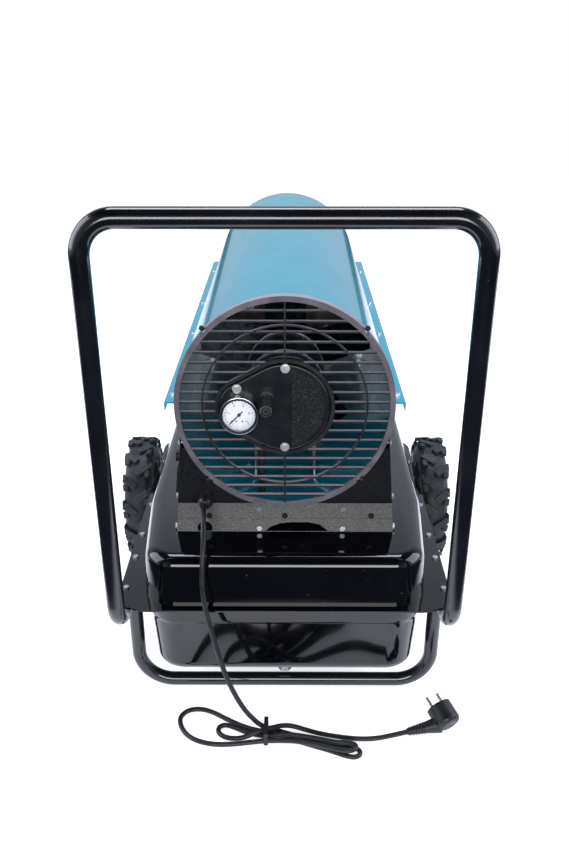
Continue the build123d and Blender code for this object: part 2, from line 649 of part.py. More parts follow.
with BuildPart() as thermostat_knob:
    with BuildSketch(control_plane.offset(BEZEL_T + 0.4)):
        with Locations((KNOB_DIAL_X, 0)):
            Circle(DIAL_D / 2)
    extrude(amount=4)
    with BuildSketch(control_plane.offset(BEZEL_T + 4.4)):
        with Locations((KNOB_DIAL_X, 0)):
            Circle(DIAL_D / 2 - 4)
    extrude(amount=7, taper=6)
    with BuildSketch(control_plane.offset(BEZEL_T + 0.4)):
        with Locations((KNOB_DIAL_X, 0)):
            Circle(2.9)
    extrude(amount=-12)
save(thermostat_knob.part, "thermostat_knob")

with BuildPart() as indicator_lamp:
    with BuildSketch(control_plane.offset(-8)):
        with Locations((LAMP_X, 0)):
            Circle(3.1)
    extrude(amount=8 + BEZEL_T)
    with BuildSketch(control_plane.offset(BEZEL_T)):
        with Locations((LAMP_X, 0)):
            Circle(4.6)
    extrude(amount=3)
    fillet(indicator_lamp.faces().sort_by(Axis.X)[0].edges(), 1.4)
save(indicator_lamp.part, "indicator_lamp")

# ---------------------------------------------------------------- casing
def half_shell(upper):
    """One half of the casing: a half ring with outward flanges, the lower one with folded lips."""
    sign = 1 if upper else -1
    lip_x = SPLIT_X - (2.0 if upper else 0.0)
    z0 = AXIS_Z if upper else AXIS_Z - SHEET_T
    split_y = (SPLIT_Y0 + SPLIT_Y1) / 2
    with BuildPart() as shell:
        with BuildSketch(rear_plane(OUTLET_Y)):
            with Locations((0, AXIS_Z)):
                Circle(SHELL_R)
                Circle(SHELL_IN_R, mode=Mode.SUBTRACT)
            with Locations((0, AXIS_Z - sign * SHELL_R)):
                Rectangle(2 * SHELL_R + 2, 2 * SHELL_R, mode=Mode.SUBTRACT)
        extrude(amount=OUTLET_Y - SHELL_Y0)
        for side in (-1, 1):
            x0 = SHELL_R - SHEET_T * 0.5
            with Locations((side * (x0 + lip_x) / 2, split_y, z0 + SHEET_T / 2)):
                Box(lip_x - x0, SPLIT_Y1 - SPLIT_Y0, SHEET_T)
            if not upper:
                with Locations((side * (lip_x - SHEET_T / 2), split_y, z0 - LIP_H / 2 + 0.5)):
                    Box(SHEET_T, SPLIT_Y1 - SPLIT_Y0, LIP_H)
            for y in SPLIT_SCREW_Y:
                add(cylinder_z(HOLE_D / 2, side * SPLIT_SCREW_X, y, AXIS_Z - 4, AXIS_Z + 4),
                    mode=Mode.SUBTRACT)
        if not upper:
            for x, y, d in LOWER_HOLES:
                add(cylinder_z(d / 2, x, y, AXIS_Z - SHELL_R - 5, AXIS_Z - SHELL_R / 2),
                    mode=Mode.SUBTRACT)
    return shell.part


HOSE_D = 9.0
HOSE_X = -34.0
HOSE_Y0, HOSE_Y1 = -392.0, -120.0
LOWER_HOLES = ((FUEL_LINE_X, FUEL_LINE_Y, FUEL_LINE_D + 1), (HOSE_X, HOSE_Y0, HOSE_D + 5),
               (HOSE_X, HOSE_Y1, HOSE_D + 5))
save(half_shell(False), "lower_shell")
save(half_shell(True), "upper_shell")

TAB_L, TAB_T = 14.0, 3.0
with BuildPart() as combustion_chamber:
    with BuildSketch(rear_plane(CHAMBER_Y1)):
        with Locations((0, AXIS_Z)):
            Circle(CHAMBER_R)
            Circle(CHAMBER_R - SHEET_T, mode=Mode.SUBTRACT)
    extrude(amount=CHAMBER_Y1 - CHAMBER_Y0)
    with BuildSketch(rear_plane(CHAMBER_Y0)):
        with Locations((0, AXIS_Z)):
            Circle(CHAMBER_R)
            Circle(HEAD_R + 0.1, mode=Mode.SUBTRACT)
            with PolarLocations(72, 12):
                Circle(6, mode=Mode.SUBTRACT)
    extrude(amount=SHEET_T)
    for y in (CHAMBER_Y0 + 50, CHAMBER_Y1 - 50):
        for turn in (30, 150, 270):
            radius = (CHAMBER_R - SHEET_T / 2 + SHELL_IN_R - SADDLE_FIT) / 2
            tab = (Pos(0, y, AXIS_Z) * Rot(0, -turn, 0) * Pos(radius, 0, 0)
                   * Box(SHELL_IN_R - SADDLE_FIT - CHAMBER_R + SHEET_T / 2, TAB_L, TAB_T,
                         mode=Mode.PRIVATE))
            add(tab)
save(combustion_chamber.part, "combustion_chamber")

with BuildPart() as flame_deflector:
    with BuildSketch(rear_plane(BAFFLE_Y)):
        with Locations((0, AXIS_Z)):
            Circle(BAFFLE_R)
            with PolarLocations(38, 8):
                Circle(7, mode=Mode.SUBTRACT)
    extrude(amount=1.5)
    for turn in (90, 210, 330):
        radius = (BAFFLE_R + CHAMBER_R - SHEET_T) / 2
        add(Pos(0, BAFFLE_Y - 0.75, AXIS_Z) * Rot(0, -turn, 0) * Pos(radius, 0, 0)
            * Box(CHAMBER_R - SHEET_T - BAFFLE_R + 3.6, 1.5, 12, mode=Mode.PRIVATE))
    add(cylinder_y(CHAMBER_R - SHEET_T - 0.05, BAFFLE_Y - 5, BAFFLE_Y + 5), mode=Mode.INTERSECT)
save(flame_deflector.part, "flame_deflector")

HEAD_LEN = 70.0
IGNITER_X, IGNITER_DZ, IGNITER_D = 4.0, 19.0, 5.0
HEAD_Y0 = CHAMBER_Y0 - SHEET_T - 46.0
with BuildPart() as burner_head:
    with BuildSketch(rear_plane(HEAD_Y0 + HEAD_LEN)):
        with Locations((0, AXIS_Z)):
            Circle(HEAD_R)
            Circle(HEAD_R - 2, mode=Mode.SUBTRACT)
    extrude(amount=HEAD_LEN)
    with BuildSketch(rear_plane(HEAD_Y0 + 6)):
        with Locations((0, AXIS_Z)):
            Circle(HEAD_R)
            with PolarLocations(22, 6):
                Circle(5, mode=Mode.SUBTRACT)
            with Locations((-IGNITER_X, IGNITER_DZ), (IGNITER_X, IGNITER_DZ)):
                Circle(IGNITER_D / 2 + 0.1, mode=Mode.SUBTRACT)
    extrude(amount=6)
    with BuildSketch(rear_plane(HEAD_Y0 + 44)):
        with Locations((0, AXIS_Z)):
            Circle(9)
    extrude(amount=44)
    with BuildSketch(rear_plane(HEAD_Y0)):
        with Locations((0, AXIS_Z)):
            RegularPolygon(12, 6)
    extrude(amount=22)
save(burner_head.part, "burner_head")

with BuildPart() as igniter:
    for x in (-IGNITER_X, IGNITER_X):
        with BuildSketch(rear_plane(HEAD_Y0 + 56)):
            with Locations((x, AXIS_Z + IGNITER_DZ)):
                Circle(IGNITER_D / 2)
        extrude(amount=78)
    with Locations((0, HEAD_Y0 - 12, AXIS_Z + IGNITER_DZ)):
        Box(20, 14, 12)
save(igniter.part, "igniter")

# ---------------------------------------------------------------- motor, fan and pump
shaft_hole_r = SHAFT_D / 2 + RUN_FIT
PUMP_Y0 = COVER_Y0 + COVER_T
with BuildPart() as motor:
    with BuildSketch(rear_plane(MOTOR_Y0 + MOTOR_LEN)):
        with Locations((0, AXIS_Z)):
            Circle(MOTOR_R)
    extrude(amount=MOTOR_LEN)
    fillet(motor.edges().filter_by(GeomType.CIRCLE), 5)
    for y in (MOTOR_Y0 + 22, MOTOR_Y0 + MOTOR_LEN - 22):
        with BuildSketch(rear_plane(y + 2)):
            with Locations((0, AXIS_Z)):
                Circle(MOTOR_R + 2)
                Circle(MOTOR_R - 3, mode=Mode.SUBTRACT)
        extrude(amount=4)
    add(cylinder_y(shaft_hole_r, MOTOR_Y0 - 1, MOTOR_Y0 + MOTOR_LEN + 1), mode=Mode.SUBTRACT)
save(motor.part, "motor")

FOOT_Z = AXIS_Z - MOTOR_R - 2.0
FOOT_X = 46.0
with BuildPart() as motor_bracket:
    with Locations((0, MOTOR_Y0 + MOTOR_LEN / 2, FOOT_Z - 1.5)):
        Box(2 * FOOT_X, MOTOR_LEN - 20, 3)
    for side in (-1, 1):
        with Locations((side * (FOOT_X - 1.5), MOTOR_Y0 + MOTOR_LEN / 2, FOOT_Z - 50)):
            Box(3, MOTOR_LEN - 20, 100)
        with Locations((side * (FOOT_X - 1.5), MOTOR_Y0 + MOTOR_LEN / 2, FOOT_Z - 45)):
            Box(8, 60, 40, mode=Mode.SUBTRACT)
    add(cylinder_y(SHELL_IN_R - SADDLE_FIT, MOTOR_Y0 - 20, MOTOR_Y0 + MOTOR_LEN + 20), mode=Mode.INTERSECT)
save(motor_bracket.part, "motor_bracket")

ROTOR_Y0 = PUMP_Y0 + 4.0
with BuildPart() as rotor_shaft:
    with BuildSketch(rear_plane(FAN_Y0 + FAN_HUB_W + 6)):
        with Locations((0, AXIS_Z)):
            Circle(SHAFT_D / 2)
    extrude(amount=FAN_Y0 + FAN_HUB_W + 6 - ROTOR_Y0)
    with BuildSketch(rear_plane(ROTOR_Y0 + ROTOR_W)):
        with Locations((0, AXIS_Z)):
            Circle(ROTOR_R)
            with PolarLocations(ROTOR_R - 7, 4):
                Rectangle(16, 3, mode=Mode.SUBTRACT)
    extrude(amount=ROTOR_W)
save(rotor_shaft.part, "rotor_shaft")

blade_r0 = FAN_HUB_R - 2.0
with BuildPart() as fan:
    with BuildSketch(rear_plane(FAN_Y0 + FAN_HUB_W)):
        with Locations((0, AXIS_Z)):
            Circle(FAN_HUB_R)
    extrude(amount=FAN_HUB_W)
    for blade in range(FAN_BLADES):
        turn = 90 + 360 / FAN_BLADES * blade
        blade_body = (Pos(0, FAN_Y0 + FAN_HUB_W / 2, AXIS_Z) * Rot(0, -turn, 0)
                      * Pos((blade_r0 + FAN_R) / 2, 0, 0) * Rot(24, 0, 0)
                      * Box(FAN_R - blade_r0, BLADE_T, 70, mode=Mode.PRIVATE))
        add(blade_body)
    add(cylinder_y(FAN_R, FAN_Y0 - 30, FAN_Y0 + FAN_HUB_W + 30), mode=Mode.INTERSECT)
    add(cylinder_y(SHAFT_D / 2, FAN_Y0 - 30, FAN_Y0 + FAN_HUB_W + 30), mode=Mode.SUBTRACT)
save(fan.part, "fan")


def cover_outline(main_r, lobe_r):
    """The rounded drop outline of the pump end: a large circle, a lobe for the gauge, two tangents."""
    with BuildSketch(mode=Mode.PRIVATE) as outline:
        with Locations((0, 0)):
            Circle(main_r)
        with Locations((LOBE_X, LOBE_DZ)):
            Circle(lobe_r)
        make_hull()
    return outline.sketch


hose_port_z = AXIS_Z - 45.0
with BuildPart() as pump_housing:
    with BuildSketch(rear_plane(MOTOR_Y0, z=AXIS_Z)):
        Circle(PUMP_R)
    extrude(amount=MOTOR_Y0 - PUMP_Y0)
    add(cylinder_y(PUMP_BORE_R, PUMP_Y0 - 1, ROTOR_Y0 + ROTOR_W + 1), mode=Mode.SUBTRACT)
    add(cylinder_y(shaft_hole_r, PUMP_Y0 - 1, MOTOR_Y0 + 1), mode=Mode.SUBTRACT)
    with Locations((HOSE_X, HOSE_Y0, hose_port_z)):
        Box(16, 16, 16)
save(pump_housing.part, "pump_housing")

with BuildPart() as pump_end_cover:
    with BuildSketch(rear_plane(PUMP_Y0, z=AXIS_Z)):
        add(cover_outline(COVER_R, LOBE_R))
    extrude(amount=COVER_T)
    fillet(pump_end_cover.faces().sort_by(Axis.Y)[0].edges(), 2.5)
    with BuildSketch(rear_plane(COVER_Y0, z=AXIS_Z)):
        Circle(PAD_R + 0.2)
        with Locations((PAD_X0 - 0.2 - PAD_R, 0)):
            Rectangle(2 * PAD_R, 2 * PAD_R + 4, mode=Mode.SUBTRACT)
    extrude(amount=-PAD_DEPTH, mode=Mode.SUBTRACT)
    with BuildSketch(rear_plane(COVER_Y0, KNOB_X, AXIS_Z + KNOB_DZ)):
        Circle(BOSS_D / 2)
    extrude(amount=BOSS_H)
    with BuildSketch(rear_plane(COVER_Y0 - BOSS_H, KNOB_X, AXIS_Z + KNOB_DZ)):
        Circle(KNOB_D / 2 - 2.5)
    extrude(amount=-10, mode=Mode.SUBTRACT)
    with BuildSketch(rear_plane(COVER_Y0, GAUGE_X, AXIS_Z + GAUGE_DZ)):
        Circle(6.1)
    extrude(amount=-8, mode=Mode.SUBTRACT)
    for dx, dz in COVER_SCREWS:
        add(cylinder_y(HOLE_D / 2, COVER_Y0 - 1, PUMP_Y0 + 1, dx, AXIS_Z + dz), mode=Mode.SUBTRACT)
save(pump_end_cover.part, "pump_end_cover")

with BuildPart() as inlet_filter:
    with BuildSketch(rear_plane(COVER_Y0 + PAD_DEPTH, z=AXIS_Z)):
        Circle(PAD_R)
        with Locations((PAD_X0 - PAD_R, 0)):
            Rectangle(2 * PAD_R, 2 * PAD_R + 4, mode=Mode.SUBTRACT)
    extrude(amount=PAD_DEPTH)
    add(cylinder_y(SCREW_HEAD_D / 2 + 3.2, COVER_Y0 - 1, COVER_Y0 + 5, COVER_SCREWS[0][0],
                   AXIS_Z + COVER_SCREWS[0][1]), mode=Mode.SUBTRACT)
    add(cylinder_y(SCREW_HEAD_D / 2 + 3.2, COVER_Y0 - 1, COVER_Y0 + 5, COVER_SCREWS[1][0],
                   AXIS_Z + COVER_SCREWS[1][1]), mode=Mode.SUBTRACT)
save(inlet_filter.part, "inlet_filter")

COVER_HEAD_D = 13.0
with BuildPart() as cover_screws:
    for dx, dz in COVER_SCREWS:
        with BuildSketch(rear_plane(COVER_Y0, dx, AXIS_Z + dz)):
            Circle(COVER_HEAD_D / 2)
        extrude(amount=1.2)
        with BuildSketch(rear_plane(COVER_Y0 - 1.2, dx, AXIS_Z + dz)):
            RegularPolygon(4.8, 6)
        extrude(amount=3.4)
        with BuildSketch(rear_plane(COVER_Y0, dx, AXIS_Z + dz)):
            Circle(SCREW_D / 2)
        extrude(amount=-COVER_T)
save(cover_screws.part, "cover_screws")

gauge_z = AXIS_Z + GAUGE_DZ
with BuildPart() as gauge_case:
    with BuildSketch(rear_plane(COVER_Y0, GAUGE_X, gauge_z)):
        Circle(GAUGE_D / 2)
    extrude(amount=GAUGE_H)
    with BuildSketch(rear_plane(COVER_Y0 - 4, GAUGE_X, gauge_z)):
        Circle(GAUGE_D / 2 - 2.4)
    extrude(amount=GAUGE_H - 4, mode=Mode.SUBTRACT)
    fillet(gauge_case.faces().sort_by(Axis.Y)[0].edges(), 0.9)
    with BuildSketch(rear_plane(COVER_Y0, GAUGE_X, gauge_z)):
        Circle(6)
    extrude(amount=-7)
save(gauge_case.part, "gauge_case")

DIAL_R = GAUGE_D / 2 - 2.5
with BuildPart() as gauge_dial:
    with BuildSketch(rear_plane(COVER_Y0 - 4, GAUGE_X, gauge_z)):
        Circle(DIAL_R)
    extrude(amount=8)
save(gauge_dial.part, "gauge_dial")

NEEDLE_TURN = 225.0      # rest direction of the needle, counter-clockwise from +X as the user sees it
with BuildPart() as gauge_needle:
    with BuildSketch(rear_plane(COVER_Y0 - 12.5, GAUGE_X, gauge_z)):
        Circle(2.6)
        with Locations(Location((0, 0), NEEDLE_TURN)):
            with Locations((5.5, 0)):
                Rectangle(25, 1.6)
    extrude(amount=0.8)
save(gauge_needle.part, "gauge_needle")

with BuildPart() as adjusting_screw:
    with BuildSketch(rear_plane(COVER_Y0 - BOSS_H - 0.3, KNOB_X, AXIS_Z + KNOB_DZ)):
        Circle(KNOB_D / 2)
    extrude(amount=KNOB_L)
    fillet(adjusting_screw.faces().sort_by(Axis.Y)[0].edges(), 1.2)
    with BuildSketch(rear_plane(COVER_Y0 - BOSS_H - 0.3 - KNOB_L, KNOB_X, AXIS_Z + KNOB_DZ)):
        Rectangle(10, 1.6)
    extrude(amount=-2, mode=Mode.SUBTRACT)
    with BuildSketch(rear_plane(COVER_Y0 - BOSS_H - 0.3, KNOB_X, AXIS_Z + KNOB_DZ)):
        Circle(KNOB_D / 2 - 2.55)
    extrude(amount=-9)
save(adjusting_screw.part, "adjusting_screw")

# ---------------------------------------------------------------- fan guard
lip_in_r = GUARD_R - GUARD_LIP
hub_out_main, hub_out_lobe = COVER_R + 7.0, LOBE_R + 6.0
with BuildPart() as fan_guard:
    with BuildSketch(rear_plane(GUARD_Y0 + GUARD_DEPTH, z=AXIS_Z)):
        Circle(GUARD_R)
        Circle(SHELL_R + 0.3, mode=Mode.SUBTRACT)
    extrude(amount=GUARD_DEPTH)
    with BuildSketch(rear_plane(GUARD_Y0 + SLAT_DEPTH, z=AXIS_Z)):
        Circle(GUARD_R)
        Circle(lip_in_r, mode=Mode.SUBTRACT)
        with Locations((0, 0)):
            Rectangle(SLAT_T, 2 * lip_in_r + 2)
        with BuildSketch(mode=Mode.PRIVATE) as ring:
            Circle(MID_RING_R + SLAT_T / 2)
            Circle(MID_RING_R - SLAT_T / 2, mode=Mode.SUBTRACT)
        add(ring.sketch)
        for slat in range(SLATS):
            z = (slat - (SLATS - 1) / 2) * SLAT_PITCH
            with Locations((0, z)):
                Rectangle(2 * sqrt((lip_in_r + 1) ** 2 - z ** 2), SLAT_T)
        add(cover_outline(hub_out_main, hub_out_lobe))
        add(cover_outline(COVER_R + 1.5, LOBE_R + 1.5), mode=Mode.SUBTRACT)
    extrude(amount=SLAT_DEPTH)
    for turn in (45, 135, 225, 315):
        notch = Box(*GUARD_NOTCH, mode=Mode.PRIVATE)
        add(Pos(0, GUARD_Y0, AXIS_Z) * Rot(0, -turn, 0) * Pos(GUARD_R, 0, 0) * notch, mode=Mode.SUBTRACT)
save(fan_guard.part, "fan_guard")


# ---------------------------------------------------------------- sheet metal screws, all alike
with BuildPart() as sheet_screw:
    with BuildSketch():
        RegularPolygon(SCREW_HEAD_D / 2, 6)
    extrude(amount=SCREW_HEAD_H)
    with BuildSketch():
        Circle(SCREW_D / 2 - 0.1)
    extrude(amount=-5)

with BuildPart() as casing_screws:
    for x, z in REAR_SCREWS + SKIRT_SCREWS:
        add(Pos(x, BASE_Y0, z) * Rot(90, 0, 0) * sheet_screw.part)
    for side in (-1, 1):
        for y in SPLIT_SCREW_Y:
            add(Pos(side * SPLIT_SCREW_X, y, AXIS_Z + SHEET_T) * sheet_screw.part)
        for z in SIDE_SCREW_Z:
            turn = 90 - SPLAY_ANGLE
            add(Pos(side * base_half(z), BASE_Y0 + 9, z) * Rot(0, side * turn, 0) * sheet_screw.part)
save(casing_screws.part, "casing_screws")

# ---------------------------------------------------------------- burner electrics and lines in the base
with BuildPart() as ignition_unit:
    with Locations((95, -300, BASE_Z + SHEET_T + 22)):
        Box(80, 100, 44)
    fillet(ignition_unit.edges().filter_by(Axis.Z), 4)
save(ignition_unit.part, "ignition_unit")

BOARD_X, BOARD_Y = -70.0, -300.0
board_z = BASE_Z + SHEET_T
with BuildPart() as control_board:
    with Locations((BOARD_X, BOARD_Y, board_z + 7)):
        Box(90, 110, 1.6)
    with Locations((BOARD_X, BOARD_Y, board_z + 3.1)):
        with GridLocations(76, 96, 2, 2):
            Cylinder(3, 6.2)
    with Locations((BOARD_X - 18, BOARD_Y - 20, board_z + 15)):
        Box(20, 30, 15)
    with Locations((BOARD_X + 20, BOARD_Y + 15, board_z + 13)):
        Box(16, 20, 11)
save(control_board.part, "control_board")


def corner_radii(points):
    """For each corner, 0.45 of the shorter run divided by the tangent of half the turn."""
    radii = []
    for before, here, after in zip(points, points[1:], points[2:]):
        run_in = Vector(*here) - Vector(*before)
        run_out = Vector(*after) - Vector(*here)
        half_turn = radians(run_in.get_angle(run_out)) / 2
        radii.append(0.45 * min(run_in.length, run_out.length) / tan(half_turn))
    return radii


hose_route = [
    (HOSE_X, HOSE_Y0, hose_port_z - 8.1), (HOSE_X, HOSE_Y0 + 0.5, 350), (HOSE_X, HOSE_Y0 + 1, 305),
    (HOSE_X, HOSE_Y0 + 26, 284), (HOSE_X - 2, -256, 284), (HOSE_X, HOSE_Y1 - 60, 284.5),
    (HOSE_X, HOSE_Y1 - 20, 286), (HOSE_X, HOSE_Y1 - 1, 305), (HOSE_X, HOSE_Y1, 360),
    (HOSE_X + 4, HOSE_Y1 + 2, 410), (HOSE_X + 16, HOSE_Y1 + 4, 445), (0, HEAD_Y0 - 46, AXIS_Z),
    (0, HEAD_Y0 - 22.1, AXIS_Z),
]
save(tube_frame(hose_route, corner_radii(hose_route), HOSE_D), "air_hose")

fuel_route = [
    (FUEL_LINE_X, FUEL_LINE_Y, TANK_SUMP_Z + 20), (FUEL_LINE_X, FUEL_LINE_Y + 0.5, 240),
    (FUEL_LINE_X, FUEL_LINE_Y, 385), (50, -128, 415), (24, -100, 440), (14, HEAD_Y0 - 8, 448),
]
save(tube_frame(fuel_route, corner_radii(fuel_route), FUEL_LINE_D), "fuel_line")

# ---------------------------------------------------------------- mains lead
HEX_T = 6.0
with BuildPart() as gland_body:
    with BuildSketch(rear_plane(BASE_Y0, GLAND_X, GLAND_Z)):
        RegularPolygon(GLAND_HEX / 2, 6)
    extrude(amount=HEX_T)
    with BuildSketch(rear_plane(BASE_Y0 - HEX_T, GLAND_X, GLAND_Z)):
        Circle(9)
    extrude(amount=7)
    with BuildSketch(rear_plane(BASE_Y0, GLAND_X, GLAND_Z)):
        Circle(CABLE_HOLE_D / 2 - 0.2)
    extrude(amount=-9)
save(gland_body.part, "gland_body")

NUT_Y = BASE_Y0 - HEX_T - 7.0
with BuildPart() as gland_nut:
    with BuildSketch(rear_plane(NUT_Y, GLAND_X, GLAND_Z)):
        Circle(10.2)
    extrude(amount=GLAND_LEN - HEX_T - 7)
    fillet(gland_nut.faces().sort_by(Axis.Y)[0].edges(), 5.5)
save(gland_nut.part, "gland_nut")

CORD_Z = CORD_D / 2 + CORD_FLOOR
CORD_EXIT = (GLAND_X, BASE_Y0 - GLAND_LEN, GLAND_Z)
UPPER_Z = CORD_Z + CORD_D + 1.1      # a strand that lies on another one

TIE_Z = CORD_Z + 1.4                 # strands inside the tie, which passes under them

drop_route = [
    CORD_EXIT, (GLAND_X, -466, GLAND_Z), (-114, -486, 313), (-113, -507, 294), (-114.5, -521, 268),
    (-116, -529, 238), (-113.5, -533, 208), (-108, -536, 176), (-100, -540, 144), (-92, -545, 112),
    (-82, -549, 82), (-70, -551, 53), (-57, -552, 29), (-48, -553.5, 19),
]
hank_route = [
    (-48, -553.5, 19), (-39, -555, 9), (-26, -560, TIE_Z), (2, -569, CORD_Z), (34, -583, CORD_Z),
    (64, -594, CORD_Z), (86, -597, CORD_Z), (102, -600, CORD_Z), (111, -609, CORD_Z),
    (108, -620, CORD_Z), (95, -622, CORD_Z), (66, -607, CORD_Z), (34, -594, CORD_Z), (2, -579.5, CORD_Z), (-26, -570, TIE_Z), (-56, -559, CORD_Z),
    (-86, -540, CORD_Z), (-108, -523, CORD_Z), (-128, -514, CORD_Z), (-148, -517, CORD_Z),
    (-159, -533, CORD_Z), (-157, -551, CORD_Z), (-149, -569, CORD_Z), (-135, -584, CORD_Z),
    (-115, -593, CORD_Z), (-93, -596, CORD_Z), (-70, -594, CORD_Z), (-48, -590, CORD_Z), (-26, -588.5, TIE_Z),
    (-6, -591, 8), (18, -597, UPPER_Z), (52, -606, UPPER_Z), (78, -615, UPPER_Z), (92, -619, UPPER_Z),
    (103, -614, UPPER_Z), (104, -604.5, UPPER_Z), (92, -600, UPPER_Z), (76, -600, UPPER_Z),
    (54, -593, UPPER_Z), (26, -586, UPPER_Z), (2, -582, UPPER_Z), (-14, -582, 9.5), (-28, -579.5, TIE_Z), (-54, -570, CORD_Z), (-74, -558, CORD_Z),
    (-88, -551, CORD_Z), (-98, -556, CORD_Z), (-99, -568, CORD_Z), (-91, -578, CORD_Z), (-76, -583, CORD_Z),
    (-58, -583, 6.5), (-41, -578, 13), (-24, -571.5, UPPER_Z + 1.4), (-14, -568, UPPER_Z + 1.4),
]
tail_route = [
    (-14, -568, UPPER_Z + 1.4), (-4, -564.5, UPPER_Z + 1.4), (10, -561, 11), (28, -563, 6), (50, -570, CORD_Z),
    (76, -577, CORD_Z), (104, -582, CORD_Z), (132, -582, CORD_Z), (158, -576, 5), (182, -571, 8),
]


STEP_L, SKIP_L = 2.0, 14.0


def cord_tube(route, name):
    """Sweeps one stretch of the lead and prints its length, least radius and volume check."""
    radii = corner_radii(route)
    with BuildLine() as line:
        FilletPolyline(*route, radius=radii)
    spine = line.wires()[0]
    length = spine.length
    body = tube_frame(route, radii, CORD_D)
    share = body.volume / (pi * CORD_D ** 2 / 4 * length)
    span = f"radii {min(radii):.1f} to {max(radii):.1f} mm"
    print(f"{name}: length {length:.0f} mm, {span}, volume share {share:.4f}")
    save(body, name)
    return spine


def least_self_gap(line):
    """Least gap between stretches of the lead that are more than SKIP_L apart along it."""
    count = int(line.length / STEP_L)
    points = [line @ (i / count) for i in range(count + 1)]
    away = int(SKIP_L / STEP_L)
    pairs = ((a, b) for i, a in enumerate(points) for b in points[i + away:])
    return min((a - b).length for a, b in pairs) - CORD_D


cord_tube(drop_route, "cord_drop")
hank_line = cord_tube(hank_route, "cord_hank")
print(f"cord_hank: least gap to itself {least_self_gap(hank_line):.2f} mm")
cord_tube(tail_route, "cord_tail")

TIE_X, TIE_Y, TIE_MID_Z = -27.0, -574.0, 11.6
TIE_SPAN, TIE_H, TIE_W, TIE_T = 43.0, 23.0, 6.0, 0.8
with BuildPart() as cord_tie:
    with BuildSketch(Plane.YZ.offset(TIE_X - TIE_W / 2)):
        with Locations((TIE_Y, TIE_MID_Z)):
            RectangleRounded(TIE_SPAN, TIE_H, 4)
            RectangleRounded(TIE_SPAN - 2 * TIE_T, TIE_H - 2 * TIE_T, 4 - TIE_T,
                             mode=Mode.SUBTRACT)
    extrude(amount=TIE_W)
save(cord_tie.part, "cord_tie")

PLUG_START = Vector(*tail_route[-1])
NECK_DIR = (PLUG_START - Vector(*tail_route[-2])).normalized()
PLUG_AT = Vector(238, -555, 25.5)    # middle of the round body
PLUG_AXIS = Vector(-0.45, 0.8, 0.4).normalized()
PLUG_D, PLUG_BODY_L = 38.0, 34.0
PIN_D, PIN_L, PIN_SPACING = 4.8, 19.0, 19.0
neck_plane = Plane(origin=PLUG_START, z_dir=NECK_DIR)
head_plane = Plane(origin=PLUG_AT, z_dir=PLUG_AXIS)
NECK_SECTIONS = ((0.0, CORD_D / 2 + 1.2), (26.0, 8.0), (50.0, 13.0))
with BuildPart() as plug:
    with BuildSketch(head_plane.offset(-PLUG_BODY_L / 2)):
        Circle(PLUG_D / 2)
    extrude(amount=PLUG_BODY_L)
    fillet(plug.edges().filter_by(GeomType.CIRCLE).sort_by(Axis(PLUG_AT, PLUG_AXIS))[0], 8)
    for (start, start_r), (end, end_r) in zip(NECK_SECTIONS, NECK_SECTIONS[1:]):
        with BuildSketch(neck_plane.offset(start)):
            Circle(start_r)
        with BuildSketch(neck_plane.offset(end)):
            Circle(end_r)
        loft()
    with BuildSketch(head_plane.offset(PLUG_BODY_L / 2)):
        with Locations((-PIN_SPACING / 2, 0), (PIN_SPACING / 2, 0)):
            Circle(PIN_D / 2)
    extrude(amount=PIN_L)
save(plug.part, "plug")
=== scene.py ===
"""Portable forced air heater: its looks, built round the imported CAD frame.

Metres, in the CAD frame: +Z up, +Y towards the hot air outlet, +X to the right of someone who
stands behind the handle. Laid out as an add-on and run as a script.
"""
import json
from math import cos, hypot, pi, radians, sin

import bmesh
import bpy
from mathutils import Matrix, Vector
from mathutils.kdtree import KDTree


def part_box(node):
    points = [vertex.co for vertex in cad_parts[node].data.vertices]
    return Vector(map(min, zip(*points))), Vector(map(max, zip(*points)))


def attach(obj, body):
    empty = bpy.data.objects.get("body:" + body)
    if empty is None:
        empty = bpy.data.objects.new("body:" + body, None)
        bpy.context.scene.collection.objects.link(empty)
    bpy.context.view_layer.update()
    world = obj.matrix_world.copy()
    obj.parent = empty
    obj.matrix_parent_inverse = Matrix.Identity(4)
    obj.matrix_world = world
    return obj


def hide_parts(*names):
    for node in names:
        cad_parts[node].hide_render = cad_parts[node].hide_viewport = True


bl_info = {
    "name": "Forced Air Heater",
    "version": (1, 0, 0),
    "blender": (4, 5, 0),
    "location": "3D View > Sidebar > Heater",
    "description": "Builds the visible pieces of a portable forced air heater",
    "category": "Object",
}

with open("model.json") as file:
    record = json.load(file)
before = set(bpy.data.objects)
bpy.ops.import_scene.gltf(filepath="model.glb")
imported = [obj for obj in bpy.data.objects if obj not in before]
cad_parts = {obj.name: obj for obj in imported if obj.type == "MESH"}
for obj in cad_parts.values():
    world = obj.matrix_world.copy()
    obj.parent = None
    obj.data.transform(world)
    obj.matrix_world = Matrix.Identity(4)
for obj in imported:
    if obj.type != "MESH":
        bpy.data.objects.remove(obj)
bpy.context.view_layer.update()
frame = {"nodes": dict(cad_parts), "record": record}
BODY_OF = {node: body for body, nodes in frame["record"]["behaviour"]["bodies"].items() for node in nodes}
MM = 0.001

# ------------------------------------------------------------------ places read from the frame


def middle(name):
    """The middle of a CAD node's box."""
    low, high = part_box(name)
    return (low + high) / 2


GUARD_LOW, GUARD_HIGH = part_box("fan_guard")
GUARD_MID = (GUARD_LOW + GUARD_HIGH) / 2
GAUGE = middle("gauge_case")
DIAL_LOW, DIAL_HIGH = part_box("gauge_dial")
DIAL_Z = (DIAL_LOW.z + DIAL_HIGH.z) / 2
DIAL_R = (DIAL_HIGH.x - DIAL_LOW.x) / 2
CASE_LOW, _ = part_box("gauge_case")
LEVEL = middle("fuel_gauge_body")


# ------------------------------------------------------------------ small tools
NOISE_SPAN = {"From Min": 0.3, "From Max": 0.7}      # nearly all of a noise pattern lies between these


